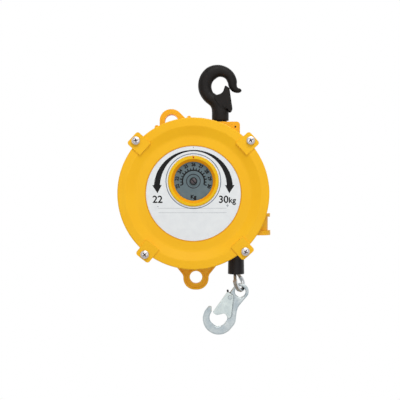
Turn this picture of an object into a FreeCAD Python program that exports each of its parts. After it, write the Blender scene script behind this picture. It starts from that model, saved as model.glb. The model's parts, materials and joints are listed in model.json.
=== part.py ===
import FreeCAD, Part
import math
import os
import re
import Sketcher
from FreeCAD import Placement, Rotation, Vector

# Spring tool balancer, in millimetres. +Z is up, +X is to the right of the dial side and the
# dial faces -Y. The origin is the saddle of the top hook, where the balancer hangs.
# Most pieces are drawn about the drum shaft, which runs along Y, and are moved there together.

doc = FreeCAD.newDocument("tool_balancer")
SHAPED = []

# Driving dimensions, one row of the sheet each
SIZES = {
    # Where the hook shank and the shaft stand
    "hook_offset": 40.5, "hook_drop": 178.7,
    # Cover: dished steel-look casting with a flat rim and four screw ears
    "cover_radius": 110.0, "rim_width": 12.0, "cover_depth": 12.0, "cover_wall": 4.0, "dish_depth": 5.2,
    "slope_width": 14.5, "label_radius": 68.7, "label_recess": 0.8, "label_thick": 0.5, "rim_round": 1.5,
    "rim_edge_round": 4.0,
    "ear_width": 23.5, "ear_inner": 94.0, "ear_outer": 120.0, "ear_round": 4.0, "ear_proud": 1.5,
    "ear_one": 42.7, "ear_two": 137.4, "ear_three": 231.5, "ear_four": 311.9,
    "screw_circle": 112.5, "screw_radius": 3.0, "screw_head_radius": 6.0, "screw_head_height": 3.6,
    "screw_length": 18.0, "washer_thick": 1.4, "cross_width": 1.5, "cross_length": 6.4, "cross_depth": 1.8,
    # Dial window and its raised bezel
    "dial_rise": 18.0, "window_radius": 28.2, "window_mouth": 32.2, "bezel_radius": 36.7,
    "bezel_proud": 2.5,
    # Where cover and case part
    "parting_y": -54.0, "gasket_thick": 0.8, "gasket_width": 8.0,
    # Rear case
    "case_back_y": 42.0, "case_wall": 6.0, "case_radius": 98.0, "case_draft": 3.0, "flange_radius": 109.0,
    "flange_thick": 7.2, "case_round": 7.0, "front_cavity": 87.5, "drum_cavity": 92.0,
    "cavity_step_y": -4.0,
    "back_boss_radius": 27.0, "back_boss_height": 4.0, "rib_count": 6, "rib_width": 5.0, "rib_height": 2.5,
    "rib_outer": 88.0,
    "ear_back_depth": 7.0,
    # Boss that carries the hook, on the hook's own axis
    "hook_boss_half": 29.1, "hook_boss_depth": 18.0, "hook_boss_top": 108.4, "hook_boss_foot": 70.0,
    "hook_boss_round": 5.0, "hook_wall": 12.0, "shank_radius": 10.0, "hook_bush_wall": 2.5,
    "nut_room_radius": 16.0,
    # Upper safety lug and lower lug
    "lug_x": -33.6, "lug_z": 110.3, "lug_hole": 10.0, "lug_round": 17.8, "lug_thick": 18.0,
    "lug_slope": 24.0, "lug_foot": 80.0, "lug_tab_at": 110.5, "lug_tab_radius": 3.2, "lug_tab_left": 118.9,
    "lug_tab_right": 93.3,
    "tail_x": 3.5, "tail_z": -126.5, "tail_hole": 9.5, "tail_round": 18.8, "tail_thick": 11.0,
    "tail_flare": 31.0, "tail_foot": -85.0, "tail_shoulder": -109.0, "tail_flare_round": 9.0,
    "bead_width": 3.0, "bead_height": 1.5,
    # Rope outlet
    "rope_radius": 2.4, "drum_small": 64.5, "outlet_radius": 16.0, "outlet_foot": -88.0,
    "outlet_top": -58.0, "guide_radius": 9.0, "guide_length": 24.0, "guide_flange": 12.0,
    "guide_flange_thick": 3.0,
    # Worm gearing between the adjusting worm and the spring case
    "worm_module": 2.5, "wheel_teeth": 66, "worm_pitch_radius": 9.5, "worm_y": -34.0, "worm_turns": 3,
    "worm_shaft_radius": 5.0, "worm_bush_length": 9.0, "worm_bush_radius": 8.0, "worm_play": 0.3,
    "worm_bush_gap": 6.0, "worm_foot_gap": 20.0, "worm_foot_bush": 16.0,
    "tunnel_radius": 16.0, "tunnel_top": 33.0, "worm_bore": 12.6, "worm_box_radius": 18.0,
    "worm_box_top": -29.0, "worm_collar_radius": 21.3, "worm_collar_height": 5.0,
    "worm_flange_radius": 21.7, "worm_flange_top": -54.0, "worm_box_foot": -61.0, "worm_cap_thick": 6.0,
    "worm_cap_hole": 5.6,
    # Rear ball bearing
    "bearing_bore": 7.5, "bearing_outer": 16.0, "bearing_width": 9.0, "bearing_y": 33.0,
    "bearing_seat_wall": 5.0,
    # Front bridge screws into two inner pads of the case
    "bridge_y": -46.0, "bridge_thick": 5.0, "bridge_half": 96.5, "bridge_width": 24.0,
    "bridge_screw_radius": 2.5, "bridge_screw_at": 91.0, "bridge_tilt": 90.0, "bridge_screw_length": 12.0,
    "gear_module": 1.0, "pinion_teeth": 9, "dial_teeth": 27, "gear_width": 2.8, "tooth_play": 0.12,
    "hub_radius": 14.0, "hub_end_y": -51.4, "bush_wall": 3.0, "shaft_radius": 8.0, "dial_axle_radius": 2.5,
    "dial_axle_head": 5.5, "dial_radius": 30.5, "dial_thick": 1.0, "dial_hub_radius": 8.0,
    "rope_pitch": 6.2, "rope_turns": 4, "drum_growth": 0.786, "drum_front_y": -5.5, "drum_lip": 67.0,
    "drum_lip_thick": 1.5, "drum_flange": 88.0, "drum_flange_y": 28.0, "drum_back_y": 31.0,
    "drum_shell": 7.0, "drum_web_y": 24.0, "drum_hub": 17.0, "groove_gap": 0.4, "rope_seat": 0.8,
    "web_hole": 9.0, "web_hole_at": 46.0, "web_holes": 6,
    "key_size": 5.0, "key_length": 20.0, "key_y": 2.0, "shaft_end_y": -51.0, "arbor_radius": 14.5,
    "arbor_start_y": -40.8, "arbor_end_y": -10.2, "ball_radius": 2.35, "ball_count": 8,
    "cup_radius": 75.5, "cup_wall": 4.0, "cup_front_y": -45.4, "cup_back_y": -6.2, "lid_thick": 3.0,
    "wheel_width": 12.0, "lid_screw_radius": 1.5, "lid_screws": 6, "lid_screw_at": 73.5, "spring_turns": 9,
    "strip_thick": 1.0, "strip_gap": 1.0, "hex_flat": 6.0, "hex_depth": 9.0, "thread_play": 0.8,
    "hook_depth": 9.0, "hook_round": 2.5, "hook_bowl_x": -4.3, "hook_bowl_radius": 29.4, "hook_crown": 17.7,
    "hook_eye_left": -13.4, "hook_eye_right": 10.4, "shank_foot": -96.5, "shank_collar": 12.8,
    "shank_collar_foot": -67.0, "nut_height": 9.0, "nut_flat": 24.0, "thrust_thick": 2.0,
    "latch_pin_x": 6.5, "latch_pin_z": -44.9, "latch_pin_radius": 2.2, "latch_sheet": 1.6, "latch_gap": 0.4,
    "split_pin_radius": 1.2,
    "bumper_radius": 12.5, "bumper_length": 33.7, "bumper_bore": 2.6, "bumper_room": 9.2,
    "bumper_room_depth": 20.0, "bumper_round": 1.2, "ferrule_radius": 7.6, "ferrule_rise": 3.0,
    "loop_head": 0.8, "loop_width": 24.0, "loop_drop": 27.0, "loop_turn": 62.0, "loop_lean": -18.0,
    "leg_gap": 8.2, "thimble_wall": 1.0, "buffer_gap": 0.3,
    "eye_radius": 12.9, "eye_hole": 8.1, "bowl_radius": 24.4, "bowl_hole": 11.7, "bowl_drop": 52.4,
    "load_thick": 7.0, "load_round": 1.9, "load_tilt": 39.0, "gate_pin_x": -6.8, "gate_pin_z": -16.3,
    "gate_pin_radius": 1.8, "gate_sheet": 1.4, "gate_gap": 0.35, "eye_slack": 2.2,
    # Fit clearances
    "run_gap": 0.05, "part_gap": 0.3,
}

sheet = doc.addObject("Spreadsheet::Sheet", "Sizes")
for row, (alias, value) in enumerate(SIZES.items(), start=1):
    sheet.set(f"A{row}", alias)
    sheet.set(f"B{row}", str(value))
    sheet.setAlias(f"B{row}", alias)
doc.recompute()


def bind(text):
    """Point every alias in a formula at its cell."""
    return re.sub(r"[a-z][a-z_0-9]*", lambda word: f"Sizes.{word[0]}" if word[0] in SIZES else word[0], text)


def val(text):
    """The number that a formula gives at the sheet's present sizes."""
    found = sheet.evalExpression(bind(text))
    return float(getattr(found, "Value", found))


# Planes and radii that several pieces share, as formulas of the sheet's cells
RIM_Y = "(parting_y - cover_depth)"
EAR_Y = f"({RIM_Y} - ear_proud)"
PLATE_Y = f"({RIM_Y} + dish_depth)"
LABEL_Y = f"({PLATE_Y} + label_recess)"
PLATE_BACK_Y = f"({LABEL_Y} + cover_wall - 1)"
CASE_FRONT_Y = "(parting_y + gasket_thick)"
EARS = ["ear_one", "ear_two", "ear_three", "ear_four"]
SHAFT = ("-hook_offset", "0", "-hook_drop")


def place(item, at=SHAFT, axis=None, angle="0"):
    """Bind an object's placement to the sheet: a point, and a turn about one axis."""
    for letter, formula in zip("xyz", at):
        item.setExpression(f"Placement.Base.{letter}", bind(formula))
    if axis:
        item.Placement.Rotation = Rotation(Vector(*axis), 1)
        item.setExpression("Placement.Rotation.Angle", bind(angle))


def new_body(name, at=SHAFT, axis=None, angle="0"):
    body = doc.addObject("PartDesign::Body", name)
    body.Label = name
    place(body, at, axis, angle)
    return body


def new_sketch(body, plane, lift="0", turn=None):
    """A sketch on one of the body's own planes, lifted along the plane's normal and turned about it."""
    sketch = body.newObject("Sketcher::SketchObject", f"{body.Name}_sketch")
    support = next(item for item in body.Origin.OriginFeatures if item.Role == plane)
    sketch.AttachmentSupport = [(support, "")]
    sketch.MapMode = "FlatFace"
    if turn:
        sketch.AttachmentOffset = Placement(Vector(0, 0, 0), Rotation(Vector(0, 0, 1), 1))
        sketch.setExpression("AttachmentOffset.Rotation.Angle", bind(turn))
    sketch.setExpression("AttachmentOffset.Base.z", bind(lift))
    return sketch


def pin_point(sketch, geometry, end, point):
    """Dimension a sketch point from the sketch's origin."""
    for kind, formula in zip(("DistanceX", "DistanceY"), point):
        index = sketch.addConstraint(Sketcher.Constraint(kind, -1, 1, geometry, end, val(formula)))
        sketch.setExpression(f"Constraints[{index}]", bind(formula))


def outline(sketch, corners):
    """A closed outline of straight sides. A corner is (x, y) or (x, y, round), each a formula."""
    spots = [Vector(val(corner[0]), val(corner[1]), 0) for corner in corners]
    count = len(spots)
    leave = []
    arrive = []
    arcs = []
    for index, corner in enumerate(corners):
        here = spots[index]
        if len(corner) == 2:
            arrive.append(here)
            leave.append(here)
            arcs.append(None)
            continue
        back = (spots[index - 1] - here).normalize()
        ahead = (spots[(index + 1) % count] - here).normalize()
        half = back.getAngle(ahead) / 2
        radius = val(corner[2])
        reach = radius / math.tan(half)
        centre = here + (back + ahead).normalize() * (radius / math.sin(half))
        arrive.append(here + back * reach)
        leave.append(here + ahead * reach)
        middle = centre + (here - centre).normalize() * radius
        arcs.append(Part.Arc(arrive[-1], middle, leave[-1]))
    sides = [sketch.addGeometry(Part.LineSegment(leave[index], arrive[(index + 1) % count]))
             for index in range(count)]
    for index, corner in enumerate(corners):
        before = sides[index - 1]
        after = sides[index]
        if arcs[index] is None:
            sketch.addConstraint(Sketcher.Constraint("Coincident", before, 2, after, 1))
            pin_point(sketch, after, 1, corner)
            continue
        bend = sketch.addGeometry(arcs[index])
        arc_ends = (1, 2)
        if sketch.getPoint(bend, 1).distanceToPoint(arrive[index]) > 1e-6:
            arc_ends = (2, 1)
        sketch.addConstraint(Sketcher.Constraint("Tangent", before, 2, bend, arc_ends[0]))
        sketch.addConstraint(Sketcher.Constraint("Tangent", bend, arc_ends[1], after, 1))
        radius = sketch.addConstraint(Sketcher.Constraint("Radius", bend, val(corner[2])))
        sketch.setExpression(f"Constraints[{radius}]", bind(corner[2]))
        vertex = sketch.addGeometry(Part.Point(spots[index]), True)
        sketch.addConstraint(Sketcher.Constraint("PointOnObject", vertex, 1, before))
        sketch.addConstraint(Sketcher.Constraint("PointOnObject", vertex, 1, after))
        pin_point(sketch, vertex, 1, corner)
    return sketch


def circle(sketch, x, y, radius):
    ring = sketch.addGeometry(Part.Circle(Vector(val(x), val(y), 0), Vector(0, 0, 1), val(radius)))
    pin_point(sketch, ring, 3, (x, y))
    index = sketch.addConstraint(Sketcher.Constraint("Radius", ring, val(radius)))
    sketch.setExpression(f"Constraints[{index}]", bind(radius))
    return sketch


def hexagon(sketch, corner):
    return outline(sketch, [(f"{corner} * cos({60 * side})", f"{corner} * sin({60 * side})")
                            for side in range(6)])


def box_outline(sketch, low, high):
    return outline(sketch, [(low[0], low[1]), (high[0], low[1]), (high[0], high[1]), (low[0], high[1])])


def spin(sketch, cut=False):
    """Turn a profile once about the sketch's own vertical axis, as a solid or as a cut."""
    body = sketch.getParentGeoFeatureGroup()
    kind = "PartDesign::Groove" if cut else "PartDesign::Revolution"
    feature = body.newObject(kind, f"{body.Name}_spin")
    feature.Profile = sketch
    feature.ReferenceAxis = (sketch, ["V_Axis"])
    feature.Angle = 360
    feature.Refine = False
    return feature


def pad(sketch, length):
    """Raise a profile along its plane's normal."""
    body = sketch.getParentGeoFeatureGroup()
    feature = body.newObject("PartDesign::Pad", f"{body.Name}_pad")
    feature.Profile = sketch
    feature.setExpression("Length", bind(length))
    feature.Refine = False
    return feature


def pocket(sketch, length, along=False):
    """Cut a profile against its plane's normal, or along it."""
    body = sketch.getParentGeoFeatureGroup()
    feature = body.newObject("PartDesign::Pocket", f"{body.Name}_pocket")
    feature.Profile = sketch
    feature.setExpression("Length", bind(length))
    feature.Reversed = along
    feature.Refine = False
    return feature


def ring_pattern(feature, sketch, axis, count):
    """Repeat one feature round an axis of its sketch."""
    body = sketch.getParentGeoFeatureGroup()
    pattern = body.newObject("PartDesign::PolarPattern", f"{body.Name}_pattern")
    pattern.Originals = [feature]
    pattern.Axis = (sketch, [axis])
    pattern.Angle = 360
    pattern.setExpression("Occurrences", bind(count))
    pattern.Refine = False
    body.Tip = pattern
    return pattern


def turned(name, corners, at=SHAFT, plane="XY_Plane"):
    """A piece of revolution: about Y from an XY profile, about Z from an XZ profile."""
    body = new_body(name, at)
    spin(outline(new_sketch(body, plane), corners))
    return body


def tube(name, inner, outer, start, end, at=SHAFT, plane="XY_Plane"):
    return turned(name, [(inner, start), (outer, start), (outer, end), (inner, end)], at, plane)


def span(body, corners_to_sketch, start, end, turn=None):
    """Pad a front-view profile from one depth to another along Y."""
    sketch = new_sketch(body, "XZ_Plane", f"-({end})", turn)
    corners_to_sketch(sketch)
    return pad(sketch, f"({end}) - ({start})")


def span_cut(body, corners_to_sketch, start, end, turn=None):
    """Cut a front-view profile away from one depth to another along Y."""
    sketch = new_sketch(body, "XZ_Plane", f"-({start})", turn)
    corners_to_sketch(sketch)
    return pocket(sketch, f"({end}) - ({start})")


def rise(body, draw, start, end):
    """Pad a plan-view profile from one height to another along Z."""
    sketch = new_sketch(body, "XY_Plane", start)
    draw(sketch)
    return pad(sketch, f"({end}) - ({start})")


def rise_cut(body, draw, start, end):
    """Cut a plan-view profile away from one height to another along Z."""
    sketch = new_sketch(body, "XY_Plane", start)
    draw(sketch)
    return pocket(sketch, f"({end}) - ({start})", along=True)


# --- Front cover -------------------------------------------------------------------------------


def ear_outline(sketch):
    """A screw ear: flat towards the dial, with round outer corners."""
    outline(sketch, [("ear_inner", "-ear_width / 2"), ("ear_outer", "-ear_width / 2", "ear_round"),
                     ("ear_outer", "ear_width / 2", "ear_round"), ("ear_inner", "ear_width / 2")])


def make_front_cover():
    cover = new_body("front_cover")
    rim_inner = "(cover_radius - rim_width)"
    slope_foot = f"({rim_inner} - slope_width)"
    spin(outline(new_sketch(cover, "XY_Plane"), [
        ("0", LABEL_Y), ("label_radius + run_gap * 6", LABEL_Y), ("label_radius + run_gap * 6", PLATE_Y),
        (slope_foot, PLATE_Y, "rim_edge_round * 3"), (rim_inner, RIM_Y, "rim_edge_round"),
        ("cover_radius", RIM_Y, "rim_round"), ("cover_radius", "parting_y"), ("0", "parting_y")]))
    for ear in EARS:
        span(cover, ear_outline, EAR_Y, "parting_y", ear)
    bezel = new_sketch(cover, "XY_Plane", "dial_rise")
    spin(outline(bezel, [("0", f"{LABEL_Y} + label_recess"), ("0", f"{LABEL_Y} - bezel_proud"),
                         ("bezel_radius", f"{LABEL_Y} - bezel_proud", "rim_round"),
                         ("bezel_radius", f"{LABEL_Y} + label_recess")]))
    inside = "(cover_radius - cover_wall)"
    spin(outline(new_sketch(cover, "XY_Plane"), [
        ("0", PLATE_BACK_Y), (slope_foot, PLATE_BACK_Y, "rim_edge_round"),
        (f"{rim_inner} - cover_wall / 4", f"{RIM_Y} + cover_wall", "rim_edge_round"),
        (inside, f"{RIM_Y} + cover_wall", "rim_round"), (inside, "parting_y + 1"), ("0", "parting_y + 1")]),
        cut=True)
    window = new_sketch(cover, "XY_Plane", "dial_rise")
    spin(outline(window, [("0", f"{LABEL_Y} - bezel_proud - 1"),
                          ("window_mouth", f"{LABEL_Y} - bezel_proud - 1"),
                          ("window_mouth", f"{LABEL_Y} - bezel_proud"),
                          ("window_radius", PLATE_BACK_Y), ("window_radius", f"{PLATE_BACK_Y} + 1"),
                          ("0", f"{PLATE_BACK_Y} + 1")]), cut=True)
    for ear in EARS:
        span_cut(cover, lambda sketch: circle(sketch, "screw_circle", "0", "screw_radius + part_gap"),
                 f"{EAR_Y} - 1", "parting_y + 1", ear)
    return cover




make_front_cover()


# --- Rear case -------------------------------------------------------------------------------


WORM_X = "(worm_module * wheel_teeth / 2 + worm_pitch_radius)"
WORM_TIP = "(worm_pitch_radius + worm_module)"
LEAD = "(worm_module * pi)"
WORM_END = f"({LEAD} * worm_turns / 2)"
BUSH_LOW = f"({WORM_END} + worm_bush_gap)"
FOOT_BUSH_TOP = f"(-{WORM_END} - worm_foot_gap)"


def at_worm(radius):
    return lambda sketch: circle(sketch, WORM_X, "worm_y", radius)


def at_rope(radius):
    return lambda sketch: circle(sketch, "drum_small", "0", radius)


def at_hook(radius):
    return lambda sketch: circle(sketch, "hook_offset", "0", radius)


def tail_outline(inset, head):
    """The lower lug from a given height: a flare to a round eye, drawn a distance inside its edge."""
    return lambda sketch: outline(sketch, [
        (f"tail_x - tail_flare + {inset}", head),
        (f"tail_x - tail_flare + {inset}", "tail_shoulder"),
        (f"tail_x - tail_round - 0.5 + {inset}", "tail_z + 3", "tail_flare_round"),
        (f"tail_x - tail_round + {inset}", f"tail_z - tail_round + {inset}", f"tail_round - {inset} - 1.5"),
        (f"tail_x + tail_round - {inset}", f"tail_z - tail_round + {inset}", f"tail_round - {inset} - 1.5"),
        (f"tail_x + tail_round + 0.5 - {inset}", "tail_z + 3", "tail_flare_round"),
        (f"tail_x + tail_flare - {inset}", "tail_shoulder"),
        (f"tail_x + tail_flare - {inset}", head)])


def bridge_outline(gap):
    """The bar across the case's mouth, with round ends, drawn a given gap larger."""
    ends = f"bridge_width / 2 + {gap} - 1"
    return lambda sketch: outline(sketch, [
        (f"-bridge_half - {gap}", f"-bridge_width / 2 - {gap}", ends),
        (f"bridge_half + {gap}", f"-bridge_width / 2 - {gap}", ends),
        (f"bridge_half + {gap}", f"bridge_width / 2 + {gap}", ends),
        (f"-bridge_half - {gap}", f"bridge_width / 2 + {gap}", ends)])


def make_rear_case():
    case = new_body("rear_case")
    back = "case_back_y"
    spin(outline(new_sketch(case, "XY_Plane"), [
        ("0", CASE_FRONT_Y), ("flange_radius", CASE_FRONT_Y),
        ("flange_radius", f"{CASE_FRONT_Y} + flange_thick", "rim_round"),
        ("case_radius", f"{CASE_FRONT_Y} + flange_thick", "rim_edge_round"),
        ("case_radius - case_draft", back, "case_round"), ("0", back)]))
    for ear in EARS:
        span(case, ear_outline, CASE_FRONT_Y, f"{CASE_FRONT_Y} + ear_back_depth", ear)
    spin(outline(new_sketch(case, "XY_Plane"), [
        ("0", f"{back} - 1"), ("back_boss_radius + 2", f"{back} - 1"),
        ("back_boss_radius", f"{back} + back_boss_height", "rim_round"), ("0", f"{back} + back_boss_height")]))
    rib_sketch = new_sketch(case, "XZ_Plane", f"-({back} + rib_height)")
    box_outline(rib_sketch, ("back_boss_radius - 3", "-rib_width / 2"), ("rib_outer", "rib_width / 2"))
    rib = pad(rib_sketch, "rib_height + 1")
    case.Tip = ring_pattern(rib, rib_sketch, "N_Axis", "rib_count")
    # Hook boss: a squared block over the drum
    span(case, lambda sketch: outline(sketch, [
        ("hook_offset - hook_boss_half", "hook_boss_foot"), ("hook_offset + hook_boss_half", "hook_boss_foot"),
        ("hook_offset + hook_boss_half", "hook_boss_top", "hook_boss_round"),
        ("hook_offset - hook_boss_half", "hook_boss_top", "hook_boss_round")]),
        "-hook_boss_depth", "hook_boss_depth")
    # Upper safety lug: a round eye, upright on its left and sloping down towards the boss
    slope_x = "(lug_x + lug_round * (sqrt(2) - 1))"
    span(case, lambda sketch: outline(sketch, [
        ("lug_x - lug_round", "lug_foot"), (f"{slope_x} + lug_slope", "lug_foot"),
        (f"{slope_x} + lug_slope", "lug_z + lug_round - lug_slope"),
        (slope_x, "lug_z + lug_round", "lug_round - 0.5"),
        ("lug_x - lug_round", "lug_z + lug_round", "lug_round - 0.5")]),
        "-lug_thick / 2", "lug_thick / 2")
    # Two small locating tabs on the rim, at the feet of that lug
    for tab in ("lug_tab_left", "lug_tab_right"):
        span(case, lambda sketch: circle(sketch, "lug_tab_at", "0", "lug_tab_radius"),
             CASE_FRONT_Y, f"{CASE_FRONT_Y} + flange_thick", tab)
    # Lower lug with a raised bead along its edge and round its hole
    span(case, tail_outline("0", "tail_foot"), "-tail_thick / 2", "tail_thick / 2")
    below_case = tail_outline("bead_width", "-case_radius - bead_height")
    span_cut(case, below_case, "tail_thick / 2 - bead_height", "tail_thick / 2 + 1")
    span_cut(case, below_case, "-tail_thick / 2 - 1", "-tail_thick / 2 + bead_height")
    span(case, lambda sketch: circle(sketch, "tail_x", "tail_z", "tail_hole + bead_width"),
         "-tail_thick / 2", "tail_thick / 2")
    # Rope outlet and worm housing
    rise(case, at_rope("outlet_radius"), "outlet_foot", "outlet_top")
    rise(case, at_worm("tunnel_radius"), "worm_box_top", "tunnel_top")
    rise(case, at_worm("worm_box_radius"), "worm_box_foot", "worm_box_top")
    rise(case, at_worm("worm_collar_radius"), "worm_box_top - worm_collar_height", "worm_box_top")
    rise(case, at_worm("worm_flange_radius"), "worm_box_foot", "worm_flange_top")
    span_cut(case, lambda sketch: circle(sketch, "0", "0", "cover_radius * 1.3"),
             f"{CASE_FRONT_Y} - cover_depth", CASE_FRONT_Y)
    # The room inside, stepped for the spring case in front and the drum behind
    seat = "(bearing_outer + bearing_seat_wall)"
    spin(outline(new_sketch(case, "XY_Plane"), [
        ("0", f"{CASE_FRONT_Y} - 1"), ("front_cavity", f"{CASE_FRONT_Y} - 1"),
        ("front_cavity", "cavity_step_y"), ("drum_cavity", "cavity_step_y + 3"),
        ("drum_cavity - 1.5", f"{back} - case_wall", "case_round / 2"),
        (seat, f"{back} - case_wall"), (seat, "bearing_y"), ("bearing_outer", "bearing_y"),
        ("bearing_outer", "bearing_y + bearing_width"), ("0", "bearing_y + bearing_width")]), cut=True)
    # Hook shank bore with its bush seat, and the room for the nut
    bush_seat = "(shank_radius + hook_bush_wall)"
    rise_cut(case, at_hook(bush_seat), "hook_boss_top - hook_wall - 1", "hook_boss_top + 1")
    rise_cut(case, at_hook("nut_room_radius"), "hook_boss_foot - 6", "hook_boss_top - hook_wall")
    # Rope bore, with the guide's flange let into its foot
    rise_cut(case, at_rope("guide_radius"), "outlet_foot - 1", "outlet_top + 4")
    rise_cut(case, at_rope("guide_flange"), "outlet_foot - 1", "outlet_foot + guide_flange_thick")
    # Worm bore, open at the foot, and the smaller seat of the upper bush
    rise_cut(case, at_worm("worm_bore"), "worm_box_foot - 1", f"{BUSH_LOW} - 3")
    rise_cut(case, at_worm("worm_bush_radius"), f"{BUSH_LOW} - 4", f"{BUSH_LOW} + worm_bush_length")
    # Seats for the bridge's ends
    span_cut(case, bridge_outline("run_gap * 4"), f"{CASE_FRONT_Y} - 1", "bridge_y", "bridge_tilt")
    for side in ("", "-"):
        span_cut(case, lambda sketch: circle(sketch, f"{side}bridge_screw_at", "0",
                                             "bridge_screw_radius + run_gap"),
                 "bridge_y - 1", "bridge_y + bridge_screw_length", "bridge_tilt")
    # Lug holes
    span_cut(case, lambda sketch: circle(sketch, "lug_x", "lug_z", "lug_hole"), "-lug_thick", "lug_thick")
    span_cut(case, lambda sketch: circle(sketch, "tail_x", "tail_z", "tail_hole"), "-tail_thick", "tail_thick")
    for ear in EARS:
        span_cut(case, lambda sketch: circle(sketch, "screw_circle", "0", "screw_radius + run_gap"),
                 f"{CASE_FRONT_Y} - 1", f"{CASE_FRONT_Y} + ear_back_depth + 1", ear)
    return case


make_rear_case()


# --- Pieces on the cover and between the shells -----------------------------------------------


def make_cover_trim():
    tube("cover_gasket", "flange_radius - gasket_width", "flange_radius", "parting_y", CASE_FRONT_Y)
    label = new_body("label_plate")
    span(label, lambda sketch: circle(sketch, "0", "0", "label_radius"), f"{LABEL_Y} - label_thick", LABEL_Y)
    span_cut(label, lambda sketch: circle(sketch, "0", "dial_rise", "bezel_radius + part_gap"),
             f"{LABEL_Y} - 2", f"{LABEL_Y} + 1")


def make_cover_screws():
    """Four pan-head cross-recess screws, one per ear, with a spring washer under each head."""
    screws = new_body("cover_screws")
    washers = new_body("cover_washers")
    seat = f"({EAR_Y} - washer_thick)"
    for ear in EARS:
        span(screws, lambda sketch: circle(sketch, "screw_circle", "0", "screw_radius"),
             f"{seat} - 1", f"{seat} + screw_length", ear)
        span(screws, lambda sketch: circle(sketch, "screw_circle", "0", "screw_head_radius"),
             f"{seat} - screw_head_height", seat, ear)
        for reach, width in (("cross_length", "cross_width"), ("cross_width", "cross_length")):
            span_cut(screws, lambda sketch: box_outline(
                sketch, (f"screw_circle - {reach} / 2", f"-{width} / 2"),
                (f"screw_circle + {reach} / 2", f"{width} / 2")),
                f"{seat} - screw_head_height - 1", f"{seat} - screw_head_height + cross_depth", ear)
        span(washers, lambda sketch: circle(
            circle(sketch, "screw_circle", "0", "screw_head_radius - 0.4"),
            "screw_circle", "0", "screw_radius + run_gap * 2"), seat, EAR_Y, ear)


make_cover_trim()
make_cover_screws()


# --- Dial drive ------------------------------------------------------------------------------


BRIDGE_FRONT_Y = "(bridge_y - bridge_thick)"
GEAR_FRONT_Y = f"({BRIDGE_FRONT_Y} - 0.6 - gear_width)"
DIAL_Y = f"({GEAR_FRONT_Y} - part_gap)"
DIAL_FRONT_Y = f"({DIAL_Y} - dial_thick)"


def toothed_wire(teeth, module, play, turn=0.0, y=0.0):
    """The outline of a spur gear in the front plane, with straight flanks at about 20 degrees."""
    pitch = teeth * module / 2
    step = 2 * math.pi / teeth
    rows = ((pitch - 1.25 * module, 0.36), (pitch, 0.25), (pitch + module, 0.13))
    half = [(radius, share * step - play / 2 / pitch) for radius, share in rows]
    spots = []
    for tooth in range(teeth):
        middle = tooth * step + turn
        for radius, angle in half:
            spots.append((radius, middle - angle))
        for radius, angle in reversed(half):
            spots.append((radius, middle + angle))
    points = [Vector(radius * math.cos(angle), y, radius * math.sin(angle)) for radius, angle in spots]
    return Part.makePolygon(points + points[:1])


def shaped(name, shape, at=SHAFT, axis=None, angle="0"):
    """A piece whose form is worked out by formula rather than sketched."""
    SHAPED.append(name)
    piece = doc.addObject("Part::Feature", name)
    piece.Label = name
    piece.Shape = shape
    place(piece, at, axis, angle)
    return piece


def bore_y(radius, x, z, start, end):
    return Part.makeCylinder(radius, end - start, Vector(x, start, z), Vector(0, 1, 0))


def make_dial_train():
    front = val(GEAR_FRONT_Y)
    width = val("gear_width")
    rise_z = val("dial_rise")
    depth = Vector(0, width, 0)
    pinion = Part.Face(toothed_wire(int(val("pinion_teeth")), val("gear_module"), val("tooth_play"),
                                    math.pi / 2, front)).extrude(depth)
    pinion = pinion.fuse(bore_y(val("hub_radius") - 1, 0, 0, front + width, val("hub_end_y")))
    shaped("dial_pinion", pinion)
    teeth = int(val("dial_teeth"))
    gear = Part.Face(toothed_wire(teeth, val("gear_module"), val("tooth_play"),
                                  -math.pi / 2 + math.pi / teeth, front)).extrude(depth)
    gear.translate(Vector(0, 0, rise_z))
    bore = val("dial_axle_radius + run_gap")
    shaped("dial_gear", gear.cut(bore_y(bore, 0, rise_z, front - 1, front + width + 1)))
    disc = new_body("dial_disc")
    span(disc, lambda sketch: circle(sketch, "0", "dial_rise", "dial_radius"), DIAL_FRONT_Y, DIAL_Y)
    span(disc, lambda sketch: circle(sketch, "0", "dial_rise", "dial_hub_radius"), DIAL_Y, GEAR_FRONT_Y)
    span_cut(disc, lambda sketch: circle(sketch, "0", "dial_rise", "dial_axle_radius + run_gap"),
             f"{DIAL_FRONT_Y} - 1", f"{GEAR_FRONT_Y} + 1")
    axle = new_body("dial_axle")
    span(axle, lambda sketch: circle(sketch, "0", "dial_rise", "dial_axle_radius"),
         f"{DIAL_FRONT_Y} - part_gap", f"{BRIDGE_FRONT_Y} + bridge_thick - 1")
    span(axle, lambda sketch: circle(sketch, "0", "dial_rise", "dial_axle_head"),
         f"{DIAL_FRONT_Y} - part_gap - 2", f"{DIAL_FRONT_Y} - part_gap")
    slot = new_sketch(axle, "XZ_Plane", f"-({DIAL_FRONT_Y} - part_gap - 3)")
    slot.AttachmentOffset.Rotation = Rotation(Vector(0, 0, 1), 0)
    outline(slot, [("-dial_axle_head - 1", "dial_rise + 4"), ("-dial_axle_head", "dial_rise + 5"),
                   ("dial_axle_head + 1", "dial_rise - 4"), ("dial_axle_head", "dial_rise - 5")])
    pocket(slot, "2")


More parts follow.
